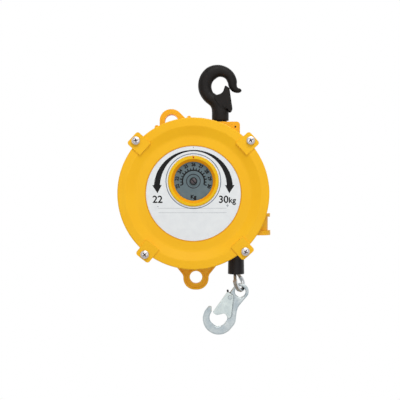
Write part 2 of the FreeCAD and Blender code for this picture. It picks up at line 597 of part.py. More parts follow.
def make_bridge():
    """The bar behind the cover that carries the spring case's front journal and the dial's axle."""
    bridge = new_body("bearing_bridge")
    span(bridge, bridge_outline("0"), BRIDGE_FRONT_Y, "bridge_y", "bridge_tilt")
    span(bridge, lambda sketch: circle(sketch, "0", "0", "hub_radius + 7"), BRIDGE_FRONT_Y, "bridge_y")
    span_cut(bridge, lambda sketch: circle(sketch, "0", "0", "hub_radius + run_gap"),
             f"{BRIDGE_FRONT_Y} - 1", "bridge_y + 1")
    span_cut(bridge, lambda sketch: circle(sketch, "0", "dial_rise", "dial_axle_radius"),
             f"{BRIDGE_FRONT_Y} - 1", "bridge_y + 1")
    screws = new_body("bridge_screws")
    for side in ("", "-"):
        span_cut(bridge, lambda sketch: circle(sketch, f"{side}bridge_screw_at", "0",
                                               "bridge_screw_radius + run_gap"),
                 f"{BRIDGE_FRONT_Y} - 1", "bridge_y + 1", "bridge_tilt")
        span(screws, lambda sketch: circle(sketch, f"{side}bridge_screw_at", "0", "bridge_screw_radius"),
             f"{BRIDGE_FRONT_Y} - 1", "bridge_y + bridge_screw_length - 2", "bridge_tilt")
        span(screws, lambda sketch: circle(sketch, f"{side}bridge_screw_at", "0", "bridge_screw_radius * 1.55"),
             f"{BRIDGE_FRONT_Y} - 3", BRIDGE_FRONT_Y, "bridge_tilt")


make_dial_train()
make_bridge()


# --- Drum, shaft and bearing -----------------------------------------------------------------



def cone(y):
    """The drum's winding surface at a depth: the rope lies part way into it."""
    return f"(drum_small - rope_seat + drum_growth * ({y}))"


def make_drum():
    drum = new_body("rope_drum")
    bore = "(shaft_radius + run_gap / 5)"
    spin(outline(new_sketch(drum, "XY_Plane"), [
        (bore, "drum_front_y"), ("drum_hub", "drum_front_y"), ("drum_hub", "drum_web_y"),
        (f"{cone('drum_web_y')} - drum_shell", "drum_web_y"),
        (f"{cone('drum_front_y')} - drum_shell", "drum_front_y"), ("drum_lip", "drum_front_y"),
        ("drum_lip", "drum_front_y + drum_lip_thick"),
        (cone("drum_front_y + drum_lip_thick"), "drum_front_y + drum_lip_thick"),
        (cone("drum_flange_y"), "drum_flange_y"), ("drum_flange", "drum_flange_y"),
        ("drum_flange", "drum_back_y"), (bore, "drum_back_y")]))
    holes = new_sketch(drum, "XZ_Plane", "-(drum_web_y - 1)")
    circle(holes, "web_hole_at", "0", "web_hole")
    cut = pocket(holes, "drum_back_y - drum_web_y + 2")
    ring_pattern(cut, holes, "N_Axis", "web_holes")
    span_cut(drum, lambda sketch: box_outline(sketch, ("-key_size / 2", "0"),
                                              ("key_size / 2", "shaft_radius + key_size / 2")),
             "key_y", "key_y + key_length")
    groove = new_sketch(drum, "XY_Plane")
    groove.AttachmentOffset = Placement(Vector(0, 0, 0), Rotation(Vector(0, 1, 0), 180))
    circle(groove, "drum_small - drum_growth * rope_pitch / 2", "-rope_pitch / 2", "rope_radius + groove_gap")
    helix = drum.newObject("PartDesign::SubtractiveHelix", "drum_groove")
    helix.Profile = groove
    helix.ReferenceAxis = (groove, ["V_Axis"])
    helix.Mode = 1
    helix.setExpression("Pitch", bind("rope_pitch"))
    helix.setExpression("Turns", bind("rope_turns + 0.5"))
    helix.setExpression("Angle", bind("atan(drum_growth)"))
    helix.LeftHanded = True
    helix.Refine = False
    wraps = new_body("rope_wraps")
    rope = new_sketch(wraps, "XY_Plane")
    circle(rope, "drum_small", "0", "rope_radius")
    coil = wraps.newObject("PartDesign::AdditiveHelix", "rope_coil")
    coil.Profile = rope
    coil.ReferenceAxis = (rope, ["V_Axis"])
    coil.Mode = 1
    coil.setExpression("Pitch", bind("rope_pitch"))
    coil.setExpression("Turns", bind("rope_turns"))
    coil.setExpression("Angle", bind("atan(drum_growth)"))
    coil.LeftHanded = True


def make_shaft():
    shaft = turned("drum_shaft", [
        ("0", "shaft_end_y"), ("shaft_radius", "shaft_end_y"), ("shaft_radius", "bearing_y - 0.4"),
        ("bearing_bore", "bearing_y - 0.4"), ("bearing_bore", "bearing_y + bearing_width - 0.4"),
        ("0", "bearing_y + bearing_width - 0.4")])
    span_cut(shaft, lambda sketch: box_outline(sketch, ("-key_size / 2", "shaft_radius - key_size / 2"),
                                               ("key_size / 2", "shaft_radius + 1")),
             "key_y", "key_y + key_length")
    key = new_body("drum_key")
    span(key, lambda sketch: box_outline(sketch, ("-key_size / 2", "shaft_radius - key_size / 2"),
                                         ("key_size / 2", "shaft_radius + key_size / 2")),
         "key_y", "key_y + key_length")
    tube("spring_arbor", "shaft_radius + run_gap / 5", "arbor_radius", "arbor_start_y", "arbor_end_y")
    ring_mid = "(bearing_bore + bearing_outer) / 2"
    tube("bearing_inner_ring", "bearing_bore", f"{ring_mid} - ball_radius + 0.6", "bearing_y",
         "bearing_y + bearing_width")
    tube("bearing_outer_ring", f"{ring_mid} + ball_radius - 0.6", "bearing_outer", "bearing_y",
         "bearing_y + bearing_width")
    ball = "(ball_radius + run_gap)"
    for ring in ("bearing_inner_ring", "bearing_outer_ring"):
        race = doc.getObject(ring)
        groove = new_sketch(race, "XY_Plane")
        circle(groove, ring_mid, "bearing_y + bearing_width / 2", ball)
        spin(groove, cut=True)
    middle = val(ring_mid)
    balls = []
    for index in range(int(val("ball_count"))):
        angle = 2 * math.pi * index / val("ball_count")
        balls.append(Part.makeSphere(val("ball_radius"), Vector(middle * math.cos(angle),
                                                                val("bearing_y + bearing_width / 2"),
                                                                middle * math.sin(angle))))
    shaped("bearing_balls", Part.makeCompound(balls))


make_drum()
make_shaft()


# --- Spring case, its spring and the adjusting worm --------------------------------------------


CUP_FLOOR_Y = "(cup_front_y + cup_wall)"
LID_Y = "(cup_back_y - lid_thick)"
WHEEL_PITCH = "(worm_module * wheel_teeth / 2)"


def make_spring_case():
    cup = "cup_radius"
    turned("spring_case", [
        ("shaft_radius + bush_wall", "hub_end_y"), ("hub_radius", "hub_end_y"), ("hub_radius", "cup_front_y"),
        (cup, "cup_front_y"), (cup, LID_Y), (f"{cup} - cup_wall", LID_Y), (f"{cup} - cup_wall", CUP_FLOOR_Y),
        ("shaft_radius + bush_wall", CUP_FLOOR_Y)])
    tube("case_bush", "shaft_radius + run_gap", "shaft_radius + bush_wall", "hub_end_y", CUP_FLOOR_Y)
    lid = tube("spring_case_lid", "arbor_radius + 2", cup, LID_Y, "cup_back_y")
    screws = new_body("lid_screws")
    case = doc.getObject("spring_case")
    sketch = new_sketch(lid, "XZ_Plane", f"-({LID_Y} - 1)")
    circle(sketch, "lid_screw_at", "0", "lid_screw_radius")
    ring_pattern(pocket(sketch, "lid_thick + 2"), sketch, "N_Axis", "lid_screws")
    sketch = new_sketch(case, "XZ_Plane", f"-({LID_Y} - 6)")
    circle(sketch, "lid_screw_at", "0", "lid_screw_radius")
    ring_pattern(pocket(sketch, "7"), sketch, "N_Axis", "lid_screws")
    sketch = new_sketch(screws, "XZ_Plane", "-(cup_back_y)")
    circle(sketch, "lid_screw_at", "0", "lid_screw_radius")
    ring_pattern(pad(sketch, "lid_thick + 6"), sketch, "N_Axis", "lid_screws")


def make_worm_wheel():
    """The toothed ring shrunk on the spring case. Its teeth lean at the worm's lead angle."""
    teeth = int(val("wheel_teeth"))
    module = val("worm_module")
    width = val("wheel_width")
    lead_slope = module / 2 / val("worm_pitch_radius")
    lean = width / 2 * lead_slope / val(WHEEL_PITCH)
    middle = val("worm_y")
    ends = [toothed_wire(teeth, module, val("thread_play"), math.pi / teeth + side * lean,
                         middle + side * width / 2) for side in (-1, 1)]
    ring = Part.makeLoft(ends, True, True)
    bore = bore_y(val("cup_radius"), 0, 0, middle - width, middle + width)
    shaped("worm_wheel", ring.cut(bore))


def make_power_spring():
    """A flat spiral strip, one coil lying outside the next, built of half-circles."""
    step = (val("cup_radius - cup_wall - strip_gap - arbor_radius - strip_gap") - val("strip_thick"))
    step = step / val("spring_turns")
    start = val("arbor_radius + strip_gap")
    top = val(f"{LID_Y} - strip_gap")
    low = val(f"{CUP_FLOOR_Y} + strip_gap")
    edges = []
    for thick in (0.0, val("strip_thick")):
        run = []
        radius = start + thick
        centre = 0.0
        for half in range(2 * int(val("spring_turns"))):
            side = 1 if half % 2 == 0 else -1
            grown = radius + step / 4
            centre_next = centre + side * -step / 4
            first = Vector(centre_next + side * grown, low, 0)
            last = Vector(centre_next - side * grown, low, 0)
            crest = Vector(centre_next, low, side * grown)
            run.append(Part.Arc(first, crest, last).toShape())
            radius = grown
            centre = centre_next
        edges.append(run)
    inner = edges[0]
    outer = edges[1]
    closing = [Part.makeLine(inner[0].Vertexes[0].Point, outer[0].Vertexes[0].Point),
               Part.makeLine(inner[-1].Vertexes[-1].Point, outer[-1].Vertexes[-1].Point)]
    wire = Part.Wire(Part.__sortEdges__(inner + outer + closing))
    shaped("power_spring", Part.Face(wire).extrude(Vector(0, top - low, 0)))


def make_worm():
    """The adjusting worm: a single-start thread on a short shaft with a hexagon socket in its foot."""
    at = ("-hook_offset + " + WORM_X, "worm_y", "-hook_drop")
    root = "(worm_pitch_radius - 1.25 * worm_module)"
    foot = "(worm_box_foot + worm_cap_thick + worm_play)"
    worm = turned("adjusting_worm", [
        ("0", foot), ("worm_shaft_radius", foot), ("worm_shaft_radius", f"{FOOT_BUSH_TOP} + worm_play"),
        (root, f"{FOOT_BUSH_TOP} + worm_play"), (root, f"{BUSH_LOW} - worm_play"),
        ("worm_shaft_radius", f"{BUSH_LOW} - worm_play"),
        ("worm_shaft_radius", f"{BUSH_LOW} + worm_bush_length - 1"),
        ("0", f"{BUSH_LOW} + worm_bush_length - 1")], at, "XZ_Plane")
    thread = new_sketch(worm, "XZ_Plane")
    tip = WORM_TIP
    low = f"(-{WORM_END})"
    outline(thread, [
        (f"{root} - 0.5", f"{low} - {LEAD} * 0.36 + thread_play / 2 - 0.2"),
        (tip, f"{low} - {LEAD} * 0.13 + thread_play / 2"), (tip, f"{low} + {LEAD} * 0.13 - thread_play / 2"),
        (f"{root} - 0.5", f"{low} + {LEAD} * 0.36 - thread_play / 2 + 0.2")])
    helix = worm.newObject("PartDesign::AdditiveHelix", "worm_thread")
    helix.Profile = thread
    helix.ReferenceAxis = (thread, ["V_Axis"])
    helix.Mode = 1
    helix.setExpression("Pitch", bind(LEAD))
    helix.setExpression("Turns", bind("worm_turns"))
    socket = new_sketch(worm, "XY_Plane", foot)
    hexagon(socket, "(hex_flat / 2 / cos(30))")
    pocket(socket, "hex_depth", along=True)
    tube("worm_upper_bush", "worm_shaft_radius + run_gap", "worm_bush_radius", BUSH_LOW,
         f"{BUSH_LOW} + worm_bush_length", at, "XZ_Plane")
    tube("worm_lower_bush", "worm_shaft_radius + run_gap", "worm_bore", f"{FOOT_BUSH_TOP} - worm_foot_bush",
         FOOT_BUSH_TOP, at, "XZ_Plane")
    tube("worm_cap", "worm_cap_hole", "worm_bore", "worm_box_foot", "worm_box_foot + worm_cap_thick",
         at, "XZ_Plane")


make_spring_case()
make_worm_wheel()
make_power_spring()
make_worm()


# --- Suspension hook ---------------------------------------------------------------------------

HOOK = ("0", "0", "0")
HOOK_BOSS_TOP_Z = "(hook_boss_top - hook_drop)"
NUT_TOP_Z = f"({HOOK_BOSS_TOP_Z} - hook_wall - thrust_thick - part_gap)"


def round_rims(body, flat, radius):
    """Round every edge of a flat-sided piece that lies in either of its two faces along Y."""
    doc.recompute()
    last = body.Tip
    back = body.Placement.inverse()
    face_y = val(flat)
    rims = []
    for index, edge in enumerate(body.Shape.Edges):
        ends = [back.multVec(vertex.Point) for vertex in edge.Vertexes]
        if all(abs(abs(end.y) - face_y) < 1e-6 for end in ends):
            rims.append(f"Edge{index + 1}")
    bevel = body.newObject("PartDesign::Fillet", f"{body.Name}_round")
    bevel.Base = (last, rims)
    bevel.setExpression("Radius", bind(radius))
    bevel.Refine = False


def top_hook_outline(sketch):
    """The hook from its collar round the bowl to the flared lip, with its saddle at the origin."""
    outer = "hook_bowl_radius - 0.6"
    outline(sketch, [
        ("-shank_collar", "shank_collar_foot"), ("-shank_collar", "-45.5", "10"),
        ("hook_bowl_x - hook_bowl_radius", "-27", outer),
        ("hook_bowl_x - hook_bowl_radius", "hook_crown", outer),
        ("hook_bowl_x + hook_bowl_radius", "hook_crown", outer),
        ("hook_bowl_x + hook_bowl_radius", "-14.5", "5"),
        ("33", "-22", "3"), ("20.5", "-24.8", "4"), ("14.6", "-19.5", "2"),
        ("hook_eye_right", "0", "8"), ("hook_eye_left", "0", "14.5"), ("hook_eye_left", "-22.5", "6"),
        ("shank_collar", "-40", "5"), ("shank_collar", "shank_collar_foot")])


def make_top_hook():
    hook = new_body("top_hook", HOOK)
    span(hook, top_hook_outline, "-hook_depth", "hook_depth")
    round_rims(hook, "hook_depth", "hook_round")
    rise(hook, lambda sketch: circle(sketch, "0", "0", "shank_collar"), "shank_collar_foot",
         "shank_collar_foot + 16")
    rise(hook, lambda sketch: circle(sketch, "0", "0", "shank_radius"), "shank_foot", "shank_collar_foot + 1")
    span_cut(hook, lambda sketch: circle(sketch, "latch_pin_x", "latch_pin_z", "latch_pin_radius + run_gap"),
             "-shank_collar * 2", "shank_collar * 2")
    span_cut(hook, lambda sketch: circle(sketch, "0", f"{NUT_TOP_Z} - nut_height + 3",
                                         "split_pin_radius + run_gap"), "-nut_flat", "nut_flat")


def make_hook_fittings():
    nut = new_body("hook_nut", HOOK)
    corner = "(nut_flat / 2 / cos(30))"
    rise(nut, lambda sketch: circle(hexagon(sketch, corner), "0", "0", "shank_radius + run_gap / 5"),
         f"{NUT_TOP_Z} - nut_height", NUT_TOP_Z)
    span_cut(nut, lambda sketch: circle(sketch, "0", f"{NUT_TOP_Z} - nut_height + 3",
                                        "split_pin_radius + run_gap"), "-nut_flat", "nut_flat")
    tube("hook_thrust_washer", "shank_radius + run_gap", "nut_room_radius - 1",
         f"{HOOK_BOSS_TOP_Z} - hook_wall - thrust_thick", f"{HOOK_BOSS_TOP_Z} - hook_wall", HOOK, "XZ_Plane")
    tube("hook_bush", "shank_radius + run_gap", "shank_radius + hook_bush_wall",
         f"{HOOK_BOSS_TOP_Z} - hook_wall", HOOK_BOSS_TOP_Z, HOOK, "XZ_Plane")
    pin = new_body("hook_split_pin", HOOK)
    height = f"({NUT_TOP_Z} - nut_height + 3)"
    span(pin, lambda sketch: circle(sketch, "0", height, "split_pin_radius"), "-nut_flat / 2", "nut_flat / 2")


def latch_side(sketch):
    """One cheek of the latch: a hooked triangle whose long side follows the hook's opening."""
    outline(sketch, [("latch_pin_x - 5", "latch_pin_z - 5", "4"), ("11.5", "latch_pin_z - 5"),
                     ("11.5", "latch_pin_z - 9", "3.4"), ("18.6", "latch_pin_z - 9", "3.4"),
                     ("13.6", "-19.2", "1"), ("7.0", "-14.6", "1.5"), ("3.2", "-26.5", "9"),
                     ("-8.5", "-30.4", "2"), ("-9.5", "-33", "1")])


def make_latch():
    latch = new_body("hook_latch", HOOK)
    outer = "(hook_depth + 1 + latch_gap + latch_sheet)"
    inner = "(hook_depth + 1 + latch_gap)"
    span(latch, latch_side, f"-{outer}", outer)
    span_cut(latch, lambda sketch: outline(sketch, [
        ("latch_pin_x - 30", "latch_pin_z - 20"), ("16.0", "latch_pin_z - 20"), ("16.0", "latch_pin_z"),
        ("11.7", "-20"), ("11.7", "0"), ("latch_pin_x - 30", "0")]), f"-{inner}", inner)
    span_cut(latch, lambda sketch: circle(sketch, "latch_pin_x", "latch_pin_z", "latch_pin_radius + run_gap"),
             "-20", "20")
    pin = new_body("hook_latch_pin", HOOK)
    span(pin, lambda sketch: circle(sketch, "latch_pin_x", "latch_pin_z", "latch_pin_radius"),
         f"-{outer} - 0.4", f"{outer} + 0.4")
    for side in (f"-{outer} - 1.4", f"{outer} + 0.4"):
        span(pin, lambda sketch: circle(sketch, "latch_pin_x", "latch_pin_z", "latch_pin_radius * 1.5"),
             side, f"{side} + 1")


make_top_hook()
make_hook_fittings()
make_latch()


# --- Rope end: bumper, ferrule, thimble and loop -------------------------------------------------


BUMPER_TOP_Z = "(outlet_foot - buffer_gap)"
BUMPER_FOOT_Z = f"({BUMPER_TOP_Z} - bumper_length)"
ROPE = ("-hook_offset + drum_small", "0", "-hook_drop")


def teardrop(half_gap, radius, drop):
    """The loop's centre line in its own plane: two straight legs tangent to a round foot."""
    centre = Vector(0, 0, -drop + radius)
    head = Vector(half_gap, 0, 0)
    away = head - centre
    reach = away.Length
    swing = math.acos(radius / reach)
    base = math.atan2(away.z, away.x)
    touch_angle = base - swing
    touch = centre + Vector(radius * math.cos(touch_angle), 0, radius * math.sin(touch_angle))
    mirror = Vector(-touch.x, 0, touch.z)
    foot = centre + Vector(0, 0, -radius)
    edges = [Part.makeLine(head, touch), Part.Arc(touch, foot, mirror).toShape(),
             Part.makeLine(mirror, Vector(-half_gap, 0, 0))]
    return Part.Wire(edges)


def swept(path, profile):
    pipe = Part.BRepOffsetAPI.MakePipeShell(path)
    pipe.setBiNormalMode(Vector(0, 1, 0))
    pipe.add(profile)
    pipe.build()
    pipe.makeSolid()
    return pipe.shape()


def rope_section(path, radius):
    start = path.OrderedEdges[0]
    return Part.Wire(Part.makeCircle(radius, start.Vertexes[0].Point, start.tangentAt(start.FirstParameter)))


def make_rope_end():
    turned("bumper", [
        ("bumper_bore", BUMPER_TOP_Z), ("bumper_radius - 0.6", BUMPER_TOP_Z, "bumper_round"),
        ("bumper_radius", BUMPER_FOOT_Z, "bumper_round"), ("bumper_room", BUMPER_FOOT_Z),
        ("bumper_room", f"{BUMPER_FOOT_Z} + bumper_room_depth"),
        ("bumper_bore", f"{BUMPER_FOOT_Z} + bumper_room_depth")], ROPE, "XZ_Plane")
    ferrule = new_body("rope_ferrule", ROPE)
    low = f"({BUMPER_FOOT_Z} + ferrule_rise)"
    high = f"({BUMPER_FOOT_Z} + bumper_room_depth - 0.2)"
    rise(ferrule, lambda sketch: circle(sketch, "0", "0", "ferrule_radius"), low, high)
    run = tube("rope_run", "0", "rope_radius", high, "0", ROPE, "XZ_Plane")
    return run


def make_loop():
    """The rope's eye and the thimble inside it, drawn upright and then leant and turned."""
    half_gap = val("leg_gap / 2")
    radius = val("loop_width / 2")
    drop = val("loop_drop")
    rope = val("rope_radius")
    line = teardrop(half_gap, radius, drop)
    loop = swept(line, rope_section(line, rope))
    wall = val("thimble_wall")
    lip = rope / 2
    within = Part.Face(teardrop_closed(half_gap, radius + lip, drop + lip)).extrude(Vector(0, 4 * rope, 0))
    within.translate(Vector(0, -2 * rope, 0))
    below = Part.makeBox(4 * radius, 4 * radius, drop, Vector(-2 * radius, -2 * radius, -1.3 * drop))
    thimble = swept(line, rope_section(line, rope + wall)).common(within).common(below)
    thimble = thimble.cut(swept(line, rope_section(line, rope + val("run_gap"))))
    at = (ROPE[0], "0", f"-hook_drop + {BUMPER_FOOT_Z} + loop_head")
    lean = Rotation(Vector(0, 1, 0), val("loop_lean"))
    turn = Rotation(Vector(0, 0, 1), val("loop_turn"))
    for name, shape in (("rope_loop", loop), ("thimble", thimble)):
        shape.Placement = Placement(Vector(0, 0, 0), lean.multiply(turn))
        shaped(name, Part.Compound([shape]), at)


def teardrop_closed(half_gap, radius, drop):
    wire = teardrop(half_gap, radius, drop)
    ends = [edge for edge in wire.OrderedEdges]
    first = ends[0].Vertexes[0].Point
    last = Vector(-first.x, 0, first.z)
    return Part.Wire(Part.__sortEdges__(wire.Edges + [Part.makeLine(last, first)]))


def make_rope_guide():
    """The flanged plastic bush that leads the rope out of the case."""
    turned("rope_guide", [
        ("rope_radius + part_gap", "outlet_foot"), ("guide_flange", "outlet_foot"),
        ("guide_flange", "outlet_foot + guide_flange_thick"),
        ("guide_radius", "outlet_foot + guide_flange_thick"),
        ("guide_radius", "outlet_foot + guide_length"),
        ("rope_radius + part_gap + 2", "outlet_foot + guide_length"),
        ("rope_radius + part_gap", "outlet_foot + guide_length - 5")], ROPE, "XZ_Plane")


make_rope_guide()
make_rope_end()
make_loop()


# --- Load hook and its gate ----------------------------------------------------------------------


# The loop's foot, and the middle of the tube that the eye turns round
TUBE_HALF = "(rope_radius + thimble_wall / 2)"
LOOP_FOOT = "(loop_drop - thimble_wall / 2)"
PIVOT_X = f"(-hook_offset + drum_small - {LOOP_FOOT} * sin(loop_lean))"
PIVOT_Z = f"(-hook_drop + {BUMPER_FOOT_Z} + loop_head - {LOOP_FOOT} * cos(loop_lean))"
EYE_DROP = f"(eye_hole - {TUBE_HALF} - eye_slack)"
PIVOT = (PIVOT_X, "0", PIVOT_Z)


def eye_z(z):
    """A height below the eye's centre, from the pivot."""
    return f"({z} - {EYE_DROP})"


def make_load_hook():
    hook = new_body("load_hook", PIVOT, (0, 1, 0), "load_tilt")
    half = "load_thick / 2"
    reach = "(bowl_radius - 0.6)"
    low = "(-bowl_drop - bowl_radius)"
    mouth = "(bowl_hole - 0.5)"
    floor = "(-bowl_drop - bowl_hole)"
    span(hook, lambda sketch: outline(sketch, [
        ("-eye_radius", eye_z("eye_radius"), "eye_radius - 0.6"),
        ("eye_radius", eye_z("eye_radius"), "eye_radius - 0.6"),
        ("eye_radius - 0.9", eye_z("-22"), "22"), ("bowl_radius", eye_z("-42"), "14"),
        ("bowl_radius", eye_z(low), reach), ("-bowl_radius", eye_z(low), reach),
        ("-bowl_radius + 1.2", eye_z("-40.5"), "2.6"), ("-bowl_hole - 3", eye_z("-51"), "3"),
        ("-bowl_hole", eye_z(floor), mouth), ("bowl_hole", eye_z(floor), mouth),
        ("bowl_hole", eye_z("-46"), "5"), ("-3.5", eye_z("-27.5"), "6"),
        ("-eye_radius + 1.6", eye_z("-18.5"), "4.5")]), f"-{half}", half)
    span_cut(hook, lambda sketch: circle(sketch, "0", eye_z("0"), "eye_hole"), "-load_thick", "load_thick")
    round_rims(hook, half, "load_round")
    span_cut(hook, lambda sketch: circle(sketch, "gate_pin_x", eye_z("gate_pin_z"),
                                         "gate_pin_radius + run_gap"), "-load_thick", "load_thick")


def gate_side(sketch):
    outline(sketch, [
        ("gate_pin_x - 8.2", eye_z("gate_pin_z + 4.5"), "2"),
        ("gate_pin_x + 2.6", eye_z("gate_pin_z + 5.0"), "3.5"), ("12.9", eye_z("-38"), "2"),
        ("11.5", eye_z("-43"), "1.5"), ("2", eye_z("-40"), "4"), ("-2.5", eye_z("-46"), "4"),
        ("-6.5", eye_z("-50.5"), "3"), ("-12.8", eye_z("-50.5"), "1.5")])


def make_gate():
    """A folded sheet gate: two cheeks over the hook's faces and a spine that closes the mouth."""
    gate = new_body("load_gate", PIVOT, (0, 1, 0), "load_tilt")
    inner = "(load_thick / 2 + gate_gap)"
    outer = f"({inner} + gate_sheet)"
    span(gate, gate_side, f"-{outer}", outer)
    span_cut(gate, lambda sketch: outline(sketch, [
        ("gate_pin_x - 8.2 + gate_sheet", eye_z("gate_pin_z + 12")), ("30", eye_z("gate_pin_z + 12")),
        ("30", eye_z("-60")), ("-12.8 + gate_sheet", eye_z("-60")), ("-12.8 + gate_sheet", eye_z("-50.5"))]),
        f"-{inner}", inner)
    span_cut(gate, lambda sketch: circle(sketch, "gate_pin_x", eye_z("gate_pin_z"),
                                         "gate_pin_radius + run_gap"), "-load_thick", "load_thick")
    pin = new_body("gate_pin", PIVOT, (0, 1, 0), "load_tilt")
    span(pin, lambda sketch: circle(sketch, "gate_pin_x", eye_z("gate_pin_z"), "gate_pin_radius"),
         f"-{outer} - 0.3", f"{outer} + 0.3")
    for side in (f"-{outer} - 1.1", f"{outer} + 0.3"):
        span(pin, lambda sketch: circle(sketch, "gate_pin_x", eye_z("gate_pin_z"), "gate_pin_radius * 1.5"),
             side, f"{side} + 0.8")


make_load_hook()
make_gate()


# --- Check and write every piece ------------------------------------------------------------

doc.recompute()
for item in doc.Objects:
    if "Invalid" in item.State or "Error" in item.State:
        raise SystemExit(f"{item.Label} is {item.State}")
os.makedirs("parts", exist_ok=True)
PIECES = [item for item in doc.Objects if item.TypeId == "PartDesign::Body" or item.Label in SHAPED]
for piece in PIECES:
    if piece.Shape.isNull() or not piece.Shape.isValid():
        raise SystemExit(f"{piece.Label} has no valid shape")
    piece.Shape.exportStep(f"parts/{piece.Label}.step")
    print(piece.Label, len(piece.Shape.Solids), round(piece.Shape.Volume / 1000, 2))
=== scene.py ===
# %% [markdown]
# # A spring tool balancer
#
# The balancer is a round yellow casting that hangs from a black safety hook. A wire rope with a small
# zinc-plated hook runs out of its foot. The construction comes from the imported model: every piece
# below sits in the same frame, in metres, so nothing has to be fitted. What this file adds is the
# finish of each surface, the printing on the label and the dial, and the forms that read better as
# meshes: the forged suspension hook, twisted wire, domed screw heads.

# %% Load the frame
import json
import math

import bmesh
import bpy
from mathutils import Matrix, Vector


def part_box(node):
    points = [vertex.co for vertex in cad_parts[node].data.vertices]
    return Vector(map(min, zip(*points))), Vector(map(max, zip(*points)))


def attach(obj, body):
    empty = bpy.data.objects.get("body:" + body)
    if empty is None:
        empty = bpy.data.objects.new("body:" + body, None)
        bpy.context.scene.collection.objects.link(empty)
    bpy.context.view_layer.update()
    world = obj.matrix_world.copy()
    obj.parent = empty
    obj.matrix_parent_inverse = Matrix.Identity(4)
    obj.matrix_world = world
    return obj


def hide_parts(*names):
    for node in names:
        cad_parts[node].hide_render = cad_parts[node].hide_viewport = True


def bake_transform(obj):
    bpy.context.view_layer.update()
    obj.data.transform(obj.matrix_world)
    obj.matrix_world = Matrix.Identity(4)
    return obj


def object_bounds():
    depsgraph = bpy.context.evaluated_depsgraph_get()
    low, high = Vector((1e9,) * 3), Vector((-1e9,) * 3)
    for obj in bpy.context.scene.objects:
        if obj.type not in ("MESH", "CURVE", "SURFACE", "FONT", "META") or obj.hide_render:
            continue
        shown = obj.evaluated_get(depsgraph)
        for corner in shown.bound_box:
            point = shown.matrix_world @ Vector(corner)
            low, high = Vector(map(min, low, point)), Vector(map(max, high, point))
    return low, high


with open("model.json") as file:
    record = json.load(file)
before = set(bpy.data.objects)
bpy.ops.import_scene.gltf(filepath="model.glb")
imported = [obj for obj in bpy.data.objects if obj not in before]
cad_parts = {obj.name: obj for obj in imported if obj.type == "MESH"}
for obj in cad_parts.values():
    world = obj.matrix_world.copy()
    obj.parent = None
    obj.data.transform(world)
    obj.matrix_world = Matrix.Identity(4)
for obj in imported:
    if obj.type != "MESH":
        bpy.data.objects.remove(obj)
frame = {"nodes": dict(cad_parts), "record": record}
CAD_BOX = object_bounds()
NODES = frame["nodes"]
MM = 0.001

# %% [markdown]
# ## Where things are
#
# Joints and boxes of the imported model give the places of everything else. The drum's axis is the
# middle of the round case, and the rim of the cover is the plane nearest to the viewer.

# %% Places read from the frame
JOINTS = {joint["name"]: joint for joint in frame["record"]["behaviour"]["joints"]}


def at_joint(name):
    return Vector(JOINTS[name]["pos_m"])


def low(node):
    return Vector(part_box(node)[0])


def high(node):
    return Vector(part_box(node)[1])


def middle(node):
    return (low(node) + high(node)) / 2


SHAFT = at_joint("drum_spin")
DIAL = at_joint("dial_turn")
COVER_FRONT = low("front_cover").y
LABEL_FRONT = low("label_plate").y
DIAL_FRONT = low("dial_disc").y
print("shaft", tuple(round(v, 4) for v in SHAFT), "cover front", round(COVER_FRONT, 4))

# %% [markdown]
# ## The camera comes first
#
# The balancer is seen straight from the front, from a little over a metre. A lens of 75 mm on a
# 36 mm sensor keeps the near rim from swelling, as a long lens on a product bench does.

# %% Camera
STAND_OFF = 1.2
LENS_MM = 74.9
RIGHT_OF_SHAFT = 9.6 * MM
BELOW_SHAFT = 9.4 * MM
camera_data = bpy.data.cameras.new("bench_camera")
camera_data.lens = LENS_MM
camera_data.sensor_width = 36.0
camera = bpy.data.objects.new("bench_camera", camera_data)
bpy.context.collection.objects.link(camera)
camera.location = (SHAFT.x + RIGHT_OF_SHAFT, COVER_FRONT - STAND_OFF, SHAFT.z - BELOW_SHAFT)
camera.rotation_euler = (math.pi / 2, 0, 0)
bpy.context.scene.camera = camera
bpy.context.scene.view_settings.view_transform = "Standard"
print("camera at", tuple(round(v, 3) for v in camera.location))

# %% [markdown]
# ## Node helpers
#
# A material is a small graph. Drawing each graph by hand would repeat the same few nodes, so helpers
# make them: noise at a real grain size, a mapped range and a mix of two colours. All patterns use
# object coordinates in metres, so a scale of 1000 means a grain of about one millimetre.

# %% Noise, ranges and mixed colours
def fresh_material(name):
    material = bpy.data.materials.new(name)
    material.use_nodes = True
    tree = material.node_tree
    shader = tree.nodes["Principled BSDF"]
    place = tree.nodes.new("ShaderNodeTexCoord").outputs["Object"]
    return material, tree, shader, place


def noise(tree, place, grain_mm, detail=2.0, stretch=(1, 1, 1)):
    mapping = tree.nodes.new("ShaderNodeMapping")
    mapping.inputs["Scale"].default_value = stretch
    tree.links.new(place, mapping.inputs["Vector"])
    texture = tree.nodes.new("ShaderNodeTexNoise")
    texture.inputs["Scale"].default_value = 1000.0 / grain_mm
    texture.inputs["Detail"].default_value = detail
    tree.links.new(mapping.outputs["Vector"], texture.inputs["Vector"])
    return texture.outputs["Fac"]


def spread(tree, value, start, end, first, last):
    """Map a grey value from the range start..end to the range first..last."""
    node = tree.nodes.new("ShaderNodeMapRange")
    tree.links.new(value, node.inputs["Value"])
    for socket, number in (("From Min", start), ("From Max", end), ("To Min", first), ("To Max", last)):
        node.inputs[socket].default_value = number
    return node.outputs["Result"]


def blend_colours(tree, factor, first, second):
    node = tree.nodes.new("ShaderNodeMix")
    node.data_type = "RGBA"
    tree.links.new(factor, node.inputs[0])
    for socket, colour in ((node.inputs[6], first), (node.inputs[7], second)):
        if isinstance(colour, bpy.types.NodeSocket):
            tree.links.new(colour, socket)
        else:
            socket.default_value = (*colour, 1.0)
    return node.outputs[2]


